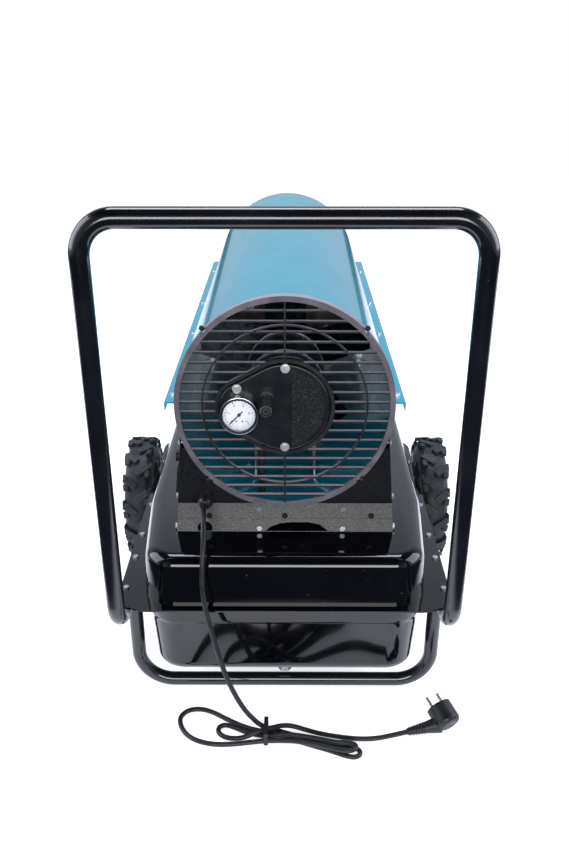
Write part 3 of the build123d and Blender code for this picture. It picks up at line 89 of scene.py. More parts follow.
def linear(code):
    """A linear RGBA colour from an sRGB hex code."""
    def channel(text):
        value = int(text, 16) / 255
        return value / 12.92 if value <= 0.04045 else ((value + 0.055) / 1.055) ** 2.4
    return (*(channel(code[i:i + 2]) for i in (0, 2, 4)), 1.0)


def set_inputs(tree, node, inputs):
    """Gives inputs their values, or links them to an output or to a node's first output."""
    for key, value in inputs.items():
        source = value.outputs[0] if isinstance(value, bpy.types.Node) else value
        if isinstance(source, bpy.types.NodeSocket):
            tree.links.new(source, node.inputs[key])
        else:
            node.inputs[key].default_value = source


def add_node(tree, kind, inputs=None, **settings):
    """Adds a shader node with its settings and links."""
    new = tree.nodes.new(kind)
    for key, value in settings.items():
        setattr(new, key, value)
    set_inputs(tree, new, inputs or {})
    return new


def start_material(name):
    """An empty node material: its tree, its Principled shader and the Object coordinates."""
    material = bpy.data.materials.new(name)
    material.use_nodes = True
    tree = material.node_tree
    tree.nodes.clear()
    shader = add_node(tree, "ShaderNodeBsdfPrincipled")
    add_node(tree, "ShaderNodeOutputMaterial", {"Surface": shader})
    place = add_node(tree, "ShaderNodeTexCoord").outputs["Object"]
    return material, tree, shader, place


# ------------------------------------------------------------------ materials
def enamel(name, base, worn, roughness, peel_mm=2.4, peel_depth=0.006, dust=0.0, coat=1.0, level=0.5):
    """Stoved gloss enamel on sheet steel: a clear mirror over flat colour, faint orange peel, dust."""
    material, tree, shader, place = start_material(name)
    cloudy = add_node(tree, "ShaderNodeTexNoise", {"Vector": place, "Scale": 1 / (90 * MM), "Detail": 3.0})
    share = add_node(tree, "ShaderNodeMapRange", {"Value": cloudy, **NOISE_SPAN})
    colour = add_node(tree, "ShaderNodeMix", {0: share, 6: linear(base), 7: linear(worn)},
                      data_type="RGBA").outputs[2]
    if dust:
        # a speck is 0.6 mm wide and faded out at 1.1 mm; specks lie only where the drift is thick
        specks = add_node(tree, "ShaderNodeTexVoronoi", {"Vector": place, "Scale": 1 / (9 * MM)},
                          feature="F1")
        shown = add_node(tree, "ShaderNodeMapRange", {"Value": specks, "From Min": 0.035, "From Max": 0.06,
                                                      "To Min": dust, "To Max": 0.0})
        drift = add_node(tree, "ShaderNodeTexNoise", {"Vector": place, "Scale": 1 / (30 * MM), "Detail": 3.0})
        patch = add_node(tree, "ShaderNodeMapRange", {"Value": drift, "From Min": 0.5, "From Max": 0.62})
        factor = add_node(tree, "ShaderNodeMath", {0: shown, 1: patch}, operation="MULTIPLY")
        colour = add_node(tree, "ShaderNodeMix", {0: factor, 6: colour, 7: linear("B9C0C4")},
                          data_type="RGBA").outputs[2]
    handled = add_node(tree, "ShaderNodeTexNoise", {"Vector": place, "Scale": 1 / (25 * MM), "Detail": 5.0})
    gloss = add_node(tree, "ShaderNodeMapRange",
                     {"Value": handled, **NOISE_SPAN, "To Min": roughness * 0.8, "To Max": roughness * 1.3})
    peel = add_node(tree, "ShaderNodeTexNoise", {"Vector": place, "Scale": 1 / (peel_mm * MM), "Detail": 3.0})
    surface = add_node(tree, "ShaderNodeBump", {"Height": peel, "Distance": peel_depth * MM, "Strength": 1.0})
    set_inputs(tree, shader, {"Base Color": colour, "Roughness": gloss, "Normal": surface, "IOR": 1.5,
                              "Coat Weight": coat, "Coat Roughness": 0.04, "Coat IOR": 1.5,
                              "Specular IOR Level": level})
    return material


def wrinkle_powder(name="wrinkle_powder_coat_black", lean=0.0, depth=0.09):
    """Fine wrinkle powder coat: hard black grains that glint in side light, drawn coarse enough to show."""
    material, tree, shader, place = start_material(name)
    grain = add_node(tree, "ShaderNodeTexNoise",
                     {"Vector": place, "Scale": 1 / (1.6 * MM), "Detail": 2.0, "Roughness": 0.6})
    share = add_node(tree, "ShaderNodeMapRange", {"Value": grain, **NOISE_SPAN})
    colour = add_node(tree, "ShaderNodeMix", {0: share, 6: linear("07080B"), 7: linear("11131A")},
                      data_type="RGBA").outputs[2]
    gloss = add_node(tree, "ShaderNodeMapRange",
                     {"Value": grain, **NOISE_SPAN, "To Min": 0.24, "To Max": 0.42})
    surface = add_node(tree, "ShaderNodeBump", {"Height": grain, "Distance": depth * MM, "Strength": 1.0})
    if lean:
        # the shading normal of the strip along the foot leans up, as if the strip were pressed to lean back a
        # little; its shape stays flat
        facing = add_node(tree, "ShaderNodeNewGeometry").outputs["Normal"]
        leaning = add_node(tree, "ShaderNodeVectorMath", {0: facing, 1: (0, 0, lean)}, operation="ADD")
        under = add_node(tree, "ShaderNodeVectorMath", {0: leaning}, operation="NORMALIZE")
        set_inputs(tree, surface, {"Normal": under})
    set_inputs(tree, shader, {"Base Color": colour, "Roughness": gloss, "Normal": surface, "IOR": 1.5,
                              "Coat Weight": 0.1, "Coat Roughness": 0.2, "Specular IOR Level": 0.4})
    return material


def moulding(name, base, worn, roughness=0.42, grain_mm=1.2, depth=0.02, dust=0.0):
    """Moulded plastic with a spark-eroded grain, rubbed paler in patches; dust lies on what faces up."""
    material, tree, shader, place = start_material(name)
    handled = add_node(tree, "ShaderNodeTexNoise",
                       {"Vector": place, "Scale": 1 / (28 * MM), "Detail": 6.0, "Roughness": 0.65})
    rubbed = add_node(tree, "ShaderNodeMapRange", {"Value": handled, "From Min": 0.38, "From Max": 0.66})
    colour = add_node(tree, "ShaderNodeMix", {0: rubbed, 6: linear(base), 7: linear(worn)},
                      data_type="RGBA").outputs[2]
    if dust:
        facing = add_node(tree, "ShaderNodeNewGeometry").outputs["Normal"]
        up = add_node(tree, "ShaderNodeSeparateXYZ", {0: facing}).outputs["Z"]
        settled = add_node(tree, "ShaderNodeMapRange",
                           {"Value": up, "From Min": 0.35, "From Max": 1.0, "To Min": 0.0, "To Max": dust})
        colour = add_node(tree, "ShaderNodeMix", {0: settled, 6: colour, 7: linear("CFC6D4")},
                          data_type="RGBA").outputs[2]
    gloss = add_node(tree, "ShaderNodeMapRange",
                     {"Value": rubbed, "To Min": roughness, "To Max": roughness + 0.16})
    grain = add_node(tree, "ShaderNodeTexNoise",
                     {"Vector": place, "Scale": 1 / (grain_mm * MM), "Detail": 2.0})
    surface = add_node(tree, "ShaderNodeBump", {"Height": grain, "Distance": depth * MM, "Strength": 1.0})
    set_inputs(tree, shader, {"Base Color": colour, "Roughness": gloss, "Normal": surface, "IOR": 1.49})
    return material


def zinc_plate(name="zinc_plated_steel", base="C9CDD2", dark="8F959C", roughness=0.26):
    """Bright zinc plating: pale blue-white metal with cloudy patches and fine handling marks."""
    material, tree, shader, place = start_material(name)
    cloudy = add_node(tree, "ShaderNodeTexNoise", {"Vector": place, "Scale": 1 / (7 * MM), "Detail": 4.0})
    share = add_node(tree, "ShaderNodeMapRange", {"Value": cloudy, **NOISE_SPAN})
    colour = add_node(tree, "ShaderNodeMix", {0: share, 6: linear(dark), 7: linear(base)},
                      data_type="RGBA").outputs[2]
    gloss = add_node(tree, "ShaderNodeMapRange",
                     {"Value": cloudy, **NOISE_SPAN, "To Min": roughness + 0.14, "To Max": roughness})
    marks = add_node(tree, "ShaderNodeTexNoise", {"Vector": place, "Scale": 1 / (0.9 * MM), "Detail": 3.0})
    surface = add_node(tree, "ShaderNodeBump", {"Height": marks, "Distance": 0.01 * MM, "Strength": 1.0})
    set_inputs(tree, shader, {"Base Color": colour, "Roughness": gloss, "Normal": surface, "Metallic": 1.0})
    return material


def tread_rubber():
    """Vulcanised rubber: blue-grey black with paler, duller blotches of dust and a faint mould sheen."""
    material, tree, shader, place = start_material("vulcanised_tread_rubber")
    worn = add_node(tree, "ShaderNodeTexNoise",
                    {"Vector": place, "Scale": 1 / (14 * MM), "Detail": 6.0, "Roughness": 0.7})
    share = add_node(tree, "ShaderNodeMapRange", {"Value": worn, **NOISE_SPAN})
    colour = add_node(tree, "ShaderNodeMix", {0: share, 6: linear("12171C"), 7: linear("273037")},
                      data_type="RGBA").outputs[2]
    gloss = add_node(tree, "ShaderNodeMapRange",
                     {"Value": worn, **NOISE_SPAN, "To Min": 0.42, "To Max": 0.66})
    scuffs = add_node(tree, "ShaderNodeTexNoise", {"Vector": place, "Scale": 1 / (2.2 * MM), "Detail": 4.0})
    surface = add_node(tree, "ShaderNodeBump", {"Height": scuffs, "Distance": 0.07 * MM, "Strength": 1.0})
    set_inputs(tree, shader, {"Base Color": colour, "Roughness": gloss, "Normal": surface, "IOR": 1.52,
                              "Sheen Weight": 0.12, "Sheen Roughness": 0.5})
    return material


def reticulated_foam():
    """Open-cell filter foam: black struts round pores 1.7 mm wide, drawn coarse enough to show."""
    material, tree, shader, place = start_material("reticulated_filter_foam")
    pores = add_node(tree, "ShaderNodeTexVoronoi", {"Vector": place, "Scale": 1 / (1.7 * MM)}, feature="F1")
    strut = add_node(tree, "ShaderNodeMapRange", {"Value": pores, "From Min": 0.25, "From Max": 0.75})
    black = add_node(tree, "ShaderNodeMix", {0: strut, 6: linear("040608"), 7: linear("161B20")},
                     data_type="RGBA").outputs[2]
    # painted glint: a pale spot where the cut end of a strut would catch the light, one about every 2.5 mm
    painted_glint_cells = add_node(tree, "ShaderNodeTexVoronoi", {"Vector": place, "Scale": 1 / (2.5 * MM)}, feature="F1")
    glint = add_node(tree, "ShaderNodeMapRange",
                     {"Value": painted_glint_cells, "From Min": 0.12, "From Max": 0.26, "To Min": 1.0, "To Max": 0.0})
    colour = add_node(tree, "ShaderNodeMix", {0: glint, 6: black, 7: linear("5C676E")},
                      data_type="RGBA").outputs[2]
    gloss = add_node(tree, "ShaderNodeMapRange", {"Value": strut, "To Min": 0.9, "To Max": 0.6})
    surface = add_node(tree, "ShaderNodeBump", {"Height": strut, "Distance": 0.9 * MM, "Strength": 1.0})
    set_inputs(tree, shader, {"Base Color": colour, "Roughness": gloss, "Normal": surface, "IOR": 1.45,
                              "Sheen Weight": 0.04})
    return material


def bare_metal(name, dark, light, roughness, grain_mm, depth, tint=None):
    """Bare sheet or cast metal; grain_mm is the size of the cast skin or heat mottling."""
    material, tree, shader, place = start_material(name)
    grain = add_node(tree, "ShaderNodeTexNoise",
                     {"Vector": place, "Scale": 1 / (grain_mm * MM), "Detail": 5.0, "Roughness": 0.6})
    share = add_node(tree, "ShaderNodeMapRange", {"Value": grain, **NOISE_SPAN})
    colour = add_node(tree, "ShaderNodeMix", {0: share, 6: linear(dark), 7: linear(light)},
                      data_type="RGBA").outputs[2]
    if tint:
        heated = add_node(tree, "ShaderNodeTexNoise",
                          {"Vector": place, "Scale": 1 / (60 * MM), "Detail": 3.0})
        tinted = add_node(tree, "ShaderNodeMapRange", {"Value": heated, **NOISE_SPAN, "To Max": 0.6})
        colour = add_node(tree, "ShaderNodeMix", {0: tinted, 6: colour, 7: linear(tint)},
                          data_type="RGBA").outputs[2]
    gloss = add_node(tree, "ShaderNodeMapRange",
                     {"Value": grain, **NOISE_SPAN, "To Min": roughness, "To Max": roughness + 0.2})
    surface = add_node(tree, "ShaderNodeBump", {"Height": grain, "Distance": depth * MM, "Strength": 1.0})
    set_inputs(tree, shader, {"Base Color": colour, "Roughness": gloss, "Normal": surface, "Metallic": 1.0})
    return material


def sheath_rubber():
    """Extruded cable sheath: matt black rubber, shinier in patches where it was handled."""
    material, tree, shader, place = start_material("extruded_cable_sheath")
    marks = add_node(tree, "ShaderNodeTexNoise",
                     {"Vector": place, "Scale": 1 / (11 * MM), "Detail": 5.0, "Roughness": 0.6})
    share = add_node(tree, "ShaderNodeMapRange", {"Value": marks, **NOISE_SPAN})
    colour = add_node(tree, "ShaderNodeMix", {0: share, 6: linear("0C0D10"), 7: linear("1D2026")},
                      data_type="RGBA").outputs[2]
    gloss = add_node(tree, "ShaderNodeMapRange", {"Value": marks, **NOISE_SPAN, "To Min": 0.3, "To Max": 0.5})
    skin = add_node(tree, "ShaderNodeTexNoise", {"Vector": place, "Scale": 1 / (1.2 * MM), "Detail": 3.0})
    surface = add_node(tree, "ShaderNodeBump", {"Height": skin, "Distance": 0.012 * MM, "Strength": 1.0})
    set_inputs(tree, shader, {"Base Color": colour, "Roughness": gloss, "Normal": surface, "IOR": 1.5})
    return material


def clear_cover():
    """Clear acrylic gauge cover: glassy, with fine wiping haze."""
    material, tree, shader, place = start_material("clear_acrylic_cover")
    wiped = add_node(tree, "ShaderNodeTexNoise", {"Vector": place, "Scale": 1 / (6 * MM), "Detail": 4.0})
    haze = add_node(tree, "ShaderNodeMapRange", {"Value": wiped, **NOISE_SPAN, "To Max": 0.06})
    # acrylic's own IOR is 1.49; the low value keeps the closed dome from working as a lens over the dial
    set_inputs(tree, shader, {"Base Color": (1, 1, 1, 1), "Roughness": haze, "IOR": 1.1,
                              "Transmission Weight": 1.0})
    return material


def dial_card():
    """Printed aluminium dial under lacquer: even white, barely mottled."""
    material, tree, shader, place = start_material("lacquered_dial_white")
    tone = add_node(tree, "ShaderNodeTexNoise", {"Vector": place, "Scale": 1 / (5 * MM), "Detail": 3.0})
    share = add_node(tree, "ShaderNodeMapRange", {"Value": tone, **NOISE_SPAN})
    colour = add_node(tree, "ShaderNodeMix", {0: share, 6: linear("C9CEDA"), 7: linear("D6DAE4")},
                      data_type="RGBA").outputs[2]
    gloss = add_node(tree, "ShaderNodeMapRange", {"Value": tone, **NOISE_SPAN, "To Min": 0.3, "To Max": 0.4})
    set_inputs(tree, shader, {"Base Color": colour, "Roughness": gloss, "IOR": 1.45})
    return material


MATERIALS = {}


def make_materials(colours):
    """Fills the table of finishes. Each key says which pieces wear it."""
    def code(name):
        return "".join(f"{round(255 * channel):02X}" for channel in getattr(colours, name))
    teal, black = code("casing"), code("tank")
    MATERIALS.update({
        "casing": enamel("stoved_enamel_teal", teal, "109EB8", 0.20, dust=0.35, coat=0.6, level=0.4),
        "tank": enamel("stoved_enamel_black", black, "090B10", 0.07, dust=0.8, coat=0.75, level=0.3),
        "tube": enamel("stoved_enamel_tube_black", "07090D", "12151B", 0.16, 3.0, 0.01, dust=0.5, coat=0.7),
        "cover": enamel("semi_gloss_cast_cover_black", "0D1015", "171C22", 0.26, 1.4, 0.012, 0.3, 0.35),
        "panel": wrinkle_powder(),
        "fold": wrinkle_powder("wrinkle_powder_coat_pressed_fold", 0.42, 0.03),
        "blade": bare_metal("fan_sheet_steel_dark", "23282B", "454C51", 0.24, 9, 0.02),
        "guard": moulding("moulded_polyamide_guard", code("guard"), "6A6670", 0.44, dust=0.5),
        "slat": moulding("moulded_polyamide_slats_dusty", "101016", "1C1B22", 0.36, dust=1.0),
        "edge": zinc_plate("bright_plated_spring_steel", "E4E9F0", "AEB6C2", 0.22),
        "screw": zinc_plate("zinc_plated_screw_heads", "F6F8FB", "BFC5CC", 0.34),
        "nylon": moulding("moulded_nylon_black", "0B0C0F", "1C1D21", 0.34),
        "bezel": moulding("moulded_abs_satin_black", "0E0F12", "1B1D22", 0.36),
        "rim": moulding("moulded_wheel_centre", "15171B", "24272D", 0.38),
        "grey": moulding("moulded_abs_grey", "8B8F94", "A3A7AB", 0.44),
        "red": moulding("moulded_rocker_red", "A01712", "BD2A22", 0.22),
        "amber": moulding("moulded_lens_amber", "C9781A", "DE9431", 0.18),
        "board": moulding("solder_mask_green", "1B5A2C", "256B38", 0.35),
        "ceramic": moulding("glazed_insulator_white", "D9D5CC", "E6E3DC", 0.18, 4, 0.01),
        "ink": moulding("screen_printed_ink", "111214", "1B1C1F", 0.5, 2, 0.003),
        "hose": moulding("moulded_hose_rubber", "101113", "202226", 0.5, 1.6, 0.03),
        "zinc": zinc_plate(),
        "tyre": tread_rubber(),
        "foam": reticulated_foam(),
        "heat_steel": bare_metal("heat_tinted_steel", "5A5652", "8D8985", 0.34, 18, 0.02, "6B5A4C"),
        "aluminium": bare_metal("die_cast_aluminium", "8E9296", "BDC1C4", 0.36, 3, 0.04),
        "motor": bare_metal("rolled_motor_shell", "70757B", "A4A9AE", 0.30, 6, 0.02),
        "brass": bare_metal("turned_brass", "9A7636", "C5A15A", 0.24, 4, 0.01),
        "lead": sheath_rubber(),
        "dial": dial_card(),
        "clear": clear_cover(),
    })


# ------------------------------------------------------------------ making pieces
def add_piece(bm, name, finish, body="root", stands_for=(), sharp=30.0, soften=0.0, segments=2):
    """Turns a bmesh into a finished piece that rides on a body and may stand for CAD nodes."""
    for face in bm.faces:
        face.smooth = True
    for edge in bm.edges:
        edge.smooth = edge.is_manifold and edge.calc_face_angle(0.0) < radians(sharp)
    mesh = bpy.data.meshes.new(name)
    bm.to_mesh(mesh)
    bm.free()
    for key in (finish if isinstance(finish, (list, tuple)) else [finish]):
        mesh.materials.append(MATERIALS[key])
    piece = bpy.data.objects.new(name, mesh)
    bpy.context.scene.collection.objects.link(piece)
    if soften:
        bevel = piece.modifiers.new("soft_edges", "BEVEL")
        bevel.width = soften * MM
        bevel.segments = segments
        bevel.limit_method = "ANGLE"
        bevel.angle_limit = radians(sharp)
        bevel.harden_normals = True
    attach(piece, body)
    if stands_for:
        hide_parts(*stands_for)
    return piece


def joined_copy(node, finish_of=None):
    """A copy of a CAD node's mesh, loose triangles joined and flat areas of one finish made one face."""
    bm = bmesh.new()
    bm.from_mesh(frame["nodes"][node].data)
    bmesh.ops.remove_doubles(bm, verts=bm.verts, dist=2e-6)
    for face in bm.faces if finish_of else ():
        face.material_index = finish_of(face)
    bmesh.ops.dissolve_limit(bm, angle_limit=radians(0.2), use_dissolve_boundaries=False,
                             verts=bm.verts, edges=bm.edges, delimit={"NORMAL", "MATERIAL"})
    return bm


def dress(node, finish, soften=0.0, sharp=30.0, segments=2):
    """A piece with a CAD node's own shape: smooth where the real one is round, soft at its edges."""
    return add_piece(joined_copy(node), node + "_finished", finish, BODY_OF[node], (node,), sharp, soften,
                     segments)


def turned(profile, steps, axis, centre):
    """A closed ring or knob spun from (radius, height) pairs round an axis through centre."""
    bm = bmesh.new()
    rim = [bm.verts.new((radius, 0.0, height)) for radius, height in profile]
    edges = [bm.edges.new(pair) for pair in zip(rim, rim[1:] + rim[:1])]
    bmesh.ops.spin(bm, geom=rim + edges, cent=(0, 0, 0), axis=(0, 0, 1), angle=2 * pi, steps=steps,
                   use_merge=True)
    bmesh.ops.remove_doubles(bm, verts=bm.verts, dist=1e-7)
    turn = Vector((0, 0, 1)).rotation_difference(Vector(axis)).to_matrix().to_4x4()
    bmesh.ops.transform(bm, matrix=Matrix.Translation(centre) @ turn, verts=bm.verts)
    bmesh.ops.recalc_face_normals(bm, faces=bm.faces)
    return bm


def add_block(bm, size, place, soften=0.0):
    """Adds a block of that size at a matrix, its edges bevelled."""
    made = bmesh.ops.create_cube(bm, size=1.0, matrix=place @ Matrix.Diagonal((*size, 1)))
    if soften:
        edges = {edge for vert in made["verts"] for edge in vert.link_edges}
        bmesh.ops.bevel(bm, geom=list(edges), offset=soften, affect="EDGES", segments=1, profile=0.5,
                        material=-1)


# ------------------------------------------------------------------ user settings
class HeaterColours(bpy.types.PropertyGroup):
    """Paint and moulding colours, as sRGB."""
    casing: bpy.props.FloatVectorProperty(name="Casing", description="Enamel of the round casing",
        subtype="COLOR_GAMMA", size=3, min=0, max=1, default=(0.02, 0.66, 0.76))
    tank: bpy.props.FloatVectorProperty(name="Tank", description="Enamel of the fuel tank",
        subtype="COLOR_GAMMA", size=3, min=0, max=1, default=(0.016, 0.020, 0.030))
    guard: bpy.props.FloatVectorProperty(name="Guard", description="Moulding of the fan guard",
        subtype="COLOR_GAMMA", size=3, min=0, max=1, default=(0.31, 0.30, 0.335))


class HeaterSizes(bpy.types.PropertyGroup):
    """Sizes of details that only the looks have."""
    lugs: bpy.props.IntProperty(name="Lugs", description="Tread lugs round one side of a tyre",
        default=14, min=8, max=60)
    tread: bpy.props.FloatProperty(name="Tread", description="Depth of the tread",
        default=0.0062, unit="LENGTH")
    edge: bpy.props.FloatProperty(name="Soft edge", description="Rounding of sheet metal edges",
        default=0.0005, unit="LENGTH")


# ------------------------------------------------------------------ stage
CAMERA_AT = (0.0084, -1.6231, 0.905)
CAMERA_DOWN, CAMERA_YAW = radians(28.6), radians(-0.3)
FOCAL_PX, FRAME_PX = 912.4, 855.0
CENTRE_DROP_PX, CENTRE_RIGHT_PX = 112.5, 1.3
PAINTED_GLOW_REACH, PAINTED_GLOW_FADE = 0.82, 0.15        # the oval where glossy rays see painted glow on the paper, its reach from the origin, and its soft edge
FLOOR_HALF = 6.0
LAMPS = (
    # name, place, target, width, height, power in watts, colour
    ("left_softbox", (-2.3, -0.2, 1.5), (0, 0.0, 0.35), 2.2, 1.9, 38, "F2F5FF"),
    ("right_softbox", (2.3, -0.2, 1.5), (0, 0.0, 0.35), 2.2, 1.9, 38, "F2F5FF"),
    ("rear_softbox", (0.0, -2.9, 1.0), (0, -0.4, 0.40), 1.9, 0.8, 34, "FFFFFF"),
    ("top_softbox", (0.0, 0.5, 3.0), (0, 0.1, 0.4), 2.0, 1.0, 44, "F4F1FF"),
)


class HEATER_OT_stage(bpy.types.Operator):
    """Floor, soft lamps, world and camera"""
    bl_idname = "heater.stage"
    bl_label = "Stage"

    def execute(self, context):
        scene = context.scene
        scene.view_settings.view_transform = "Standard"
        camera = bpy.data.objects.new("camera", bpy.data.cameras.new("camera"))
        camera.data.sensor_width = 36.0
        camera.data.lens = 36.0 * FOCAL_PX / FRAME_PX
        camera.data.shift_x = -CENTRE_RIGHT_PX / FRAME_PX
        camera.data.shift_y = CENTRE_DROP_PX / FRAME_PX
        camera.location = CAMERA_AT
        camera.rotation_euler = (pi / 2 - CAMERA_DOWN, 0, -CAMERA_YAW)
        scene.collection.objects.link(camera)
        scene.camera = camera

        for name, place, target, width, height, power, tint in LAMPS:
            lamp = bpy.data.lights.new(name, "AREA")
            lamp.shape = "RECTANGLE"
            lamp.size, lamp.size_y, lamp.energy = width, height, power
            lamp.color = linear(tint)[:3]
            holder = bpy.data.objects.new(name, lamp)
            holder.location = place
            holder.rotation_euler = (Vector(target) - Vector(place)).to_track_quat("-Z", "Y").to_euler()
            scene.collection.objects.link(holder)

        world = bpy.data.worlds.new("studio")
        world.use_nodes = True
        scene.world = world
        tree = world.node_tree
        tree.nodes.clear()
        rays = add_node(tree, "ShaderNodeLightPath").outputs
        seen = add_node(tree, "ShaderNodeMath", {0: rays["Is Camera Ray"], 1: rays["Is Transmission Ray"]},
                        operation="MAXIMUM").outputs[0]
        glossy = add_node(tree, "ShaderNodeBackground",
                          {"Color": linear("C5CEDA"), "Strength": self.studio_walls(tree)})
        plain = add_node(tree, "ShaderNodeBackground", {"Color": linear("EEF2FA"), "Strength": 0.42})
        white = add_node(tree, "ShaderNodeBackground", {"Color": (1, 1, 1, 1), "Strength": 1.0})
        lit = add_node(tree, "ShaderNodeMixShader",
                       {0: rays["Is Glossy Ray"], 1: plain.outputs[0], 2: glossy.outputs[0]})
        both = add_node(tree, "ShaderNodeMixShader", {0: seen, 1: lit.outputs[0], 2: white.outputs[0]})
        add_node(tree, "ShaderNodeOutputWorld", {"Surface": both.outputs[0]})

        bm = bmesh.new()
        bmesh.ops.create_grid(bm, x_segments=1, y_segments=1, size=FLOOR_HALF)
        mesh = bpy.data.meshes.new("floor")
        bm.to_mesh(mesh)
        bm.free()
        floor = bpy.data.objects.new("floor", mesh)
        scene.collection.objects.link(floor)
        mesh.materials.append(self.paper())
        return {"FINISHED"}

    @staticmethod
    def studio_walls(tree):
        """How bright each direction of the room is: pale side and far walls, a dim near end and ceiling."""
        way = add_node(tree, "ShaderNodeSeparateXYZ",
                       {0: add_node(tree, "ShaderNodeTexCoord").outputs["Generated"]}).outputs
        across = add_node(tree, "ShaderNodeMath", {0: way["X"]}, operation="ABSOLUTE").outputs[0]
        sides = add_node(tree, "ShaderNodeMapRange",
                         {"Value": across, "From Min": 0.25, "From Max": 0.8, "To Max": 0.75})
        far_end = add_node(tree, "ShaderNodeMapRange", {"Value": way["Y"], "From Min": 0.1, "From Max": 0.8,
                                                        "To Min": 0.05, "To Max": 0.8})
        walls = add_node(tree, "ShaderNodeMath", {0: sides, 1: far_end}, operation="MAXIMUM").outputs[0]
        height = add_node(tree, "ShaderNodeMapRange", {"Value": way["Z"], "From Min": 0.45, "From Max": 0.8,
                                                       "To Min": 1.0, "To Max": 0.15})
        return add_node(tree, "ShaderNodeMath", {0: walls, 1: height}, operation="MULTIPLY").outputs[0]

    @staticmethod
    def paper():
        """White studio paper: it takes the object's shadow and still reads as white. In reflections it shows
        a painted bluish glow in an oval round the object, and painted dark floor past it.
        """
        material = bpy.data.materials.new("white_studio_paper")
        material.use_nodes = True
        tree = material.node_tree
        tree.nodes.clear()
        rays = add_node(tree, "ShaderNodeLightPath").outputs
        diffuse = add_node(tree, "ShaderNodeBsdfDiffuse", {"Color": (0.82, 0.82, 0.82, 1)})
        glow = add_node(tree, "ShaderNodeEmission", {"Color": (1, 1, 1, 1), "Strength": 0.75})
        both = add_node(tree, "ShaderNodeAddShader", {0: diffuse.outputs[0], 1: glow.outputs[0]})
        # painted glow: a bluish emission that only reflections see, standing in for lit paper
        painted_glow_in_reflections = add_node(tree, "ShaderNodeEmission", {"Color": linear("E4EEFF"), "Strength": 0.7})
        painted_glowing_paper = add_node(tree, "ShaderNodeAddShader", {0: diffuse.outputs[0], 1: painted_glow_in_reflections.outputs[0]})
        # painted shade: the near-black floor that reflections see past the oval
        dark = add_node(tree, "ShaderNodeBsdfDiffuse", {"Color": (0.03, 0.035, 0.045, 1)})
        place = add_node(tree, "ShaderNodeTexCoord").outputs["Object"]
        # the oval of painted glow is narrower than it is deep, and runs on under the far end of the object
        spot = add_node(tree, "ShaderNodeSeparateXYZ", {0: place}).outputs
        near = add_node(tree, "ShaderNodeMath", {0: spot["Y"], 1: -1.0}, operation="MULTIPLY").outputs[0]
        far = add_node(tree, "ShaderNodeMath", {0: spot["Y"], 1: 0.25}, operation="MULTIPLY").outputs[0]
        deep = add_node(tree, "ShaderNodeMath", {0: near, 1: far}, operation="MAXIMUM").outputs[0]
        narrowing = add_node(tree, "ShaderNodeMapRange", {"Value": spot["Y"], "From Min": -0.3,
                                                          "From Max": 0.3, "To Min": 1.25, "To Max": 0.25})
        wide = add_node(tree, "ShaderNodeMath", {0: spot["X"], 1: narrowing}, operation="MULTIPLY")
        oval = add_node(tree, "ShaderNodeCombineXYZ", {0: wide, 1: deep})
        reach = add_node(tree, "ShaderNodeVectorMath", {0: oval}, operation="LENGTH").outputs["Value"]
        # glossy rays see the painted glow out to the oval's edge, and the painted dark floor past it
        past_painted_glow = add_node(tree, "ShaderNodeMapRange",
                        {"Value": reach, "From Min": PAINTED_GLOW_REACH, "From Max": PAINTED_GLOW_REACH + PAINTED_GLOW_FADE})
        painted_reflected_floor = add_node(tree, "ShaderNodeMixShader", {0: past_painted_glow, 1: painted_glowing_paper.outputs[0], 2: dark.outputs[0]})
        seen = add_node(tree, "ShaderNodeMath", {0: rays["Is Camera Ray"], 1: rays["Is Transmission Ray"]},
                        operation="MAXIMUM").outputs[0]
        gloss = add_node(tree, "ShaderNodeMixShader",
                         {0: rays["Is Glossy Ray"], 1: diffuse.outputs[0], 2: painted_reflected_floor.outputs[0]})
        mixed = add_node(tree, "ShaderNodeMixShader", {0: seen, 1: gloss.outputs[0], 2: both.outputs[0]})
        add_node(tree, "ShaderNodeOutputMaterial", {"Surface": mixed.outputs[0]})
        return material


# ------------------------------------------------------------------ mains lead
# routes and heights in millimetres; REST is the height of the lead's middle on the floor, OVER on
# another strand, TIED in the tie
LEAD_D = 7.5
REST, OVER, TIED = 3.9, 12.5, 5.3
DROP_ROUTE = (
    (-115.5, -446.6, 320), (-115.5, -466, 320), (-114, -486, 313), (-113, -507, 294), (-114.5, -521, 268),
    (-116, -529, 238), (-113.5, -533, 208), (-108, -536, 176), (-100, -540, 144), (-92, -545, 112),
    (-82, -549, 82), (-70, -551, 53), (-57, -552, 29), (-48, -553.5, 19),
)
HANK_ROUTE = (
    (-39, -555, 9), (-26, -560, TIED), (2, -569, REST), (34, -583, REST), (64, -594, REST),
    (86, -597, REST), (102, -600, REST), (111, -609, REST), (108, -620, REST), (95, -622, REST),
    (66, -607, REST), (34, -594, REST), (2, -579.5, REST), (-26, -570, TIED), (-56, -559, REST),
    (-86, -540, REST), (-108, -523, REST), (-128, -514, REST), (-148, -517, REST), (-159, -533, REST),
    (-157, -551, REST), (-149, -569, REST), (-135, -584, REST), (-115, -593, REST), (-93, -596, REST),
    (-70, -594, REST), (-48, -590, REST), (-26, -588.5, TIED), (-6, -591, 8), (18, -597, OVER),
    (52, -606, OVER), (78, -615, OVER), (92, -619, OVER), (103, -614, OVER), (104, -604.5, OVER),
    (92, -600, OVER), (76, -600, OVER), (54, -593, OVER), (26, -586, OVER), (2, -582, OVER),
    (-14, -582, 9.5), (-28, -579.5, TIED), (-54, -570, REST), (-74, -558, REST), (-88, -551, REST),
    (-98, -556, REST), (-99, -568, REST), (-91, -578, REST), (-76, -583, REST), (-58, -583, 6.5),
    (-41, -578, 13), (-24, -571.5, 13.9), (-14, -568, 13.9),
)
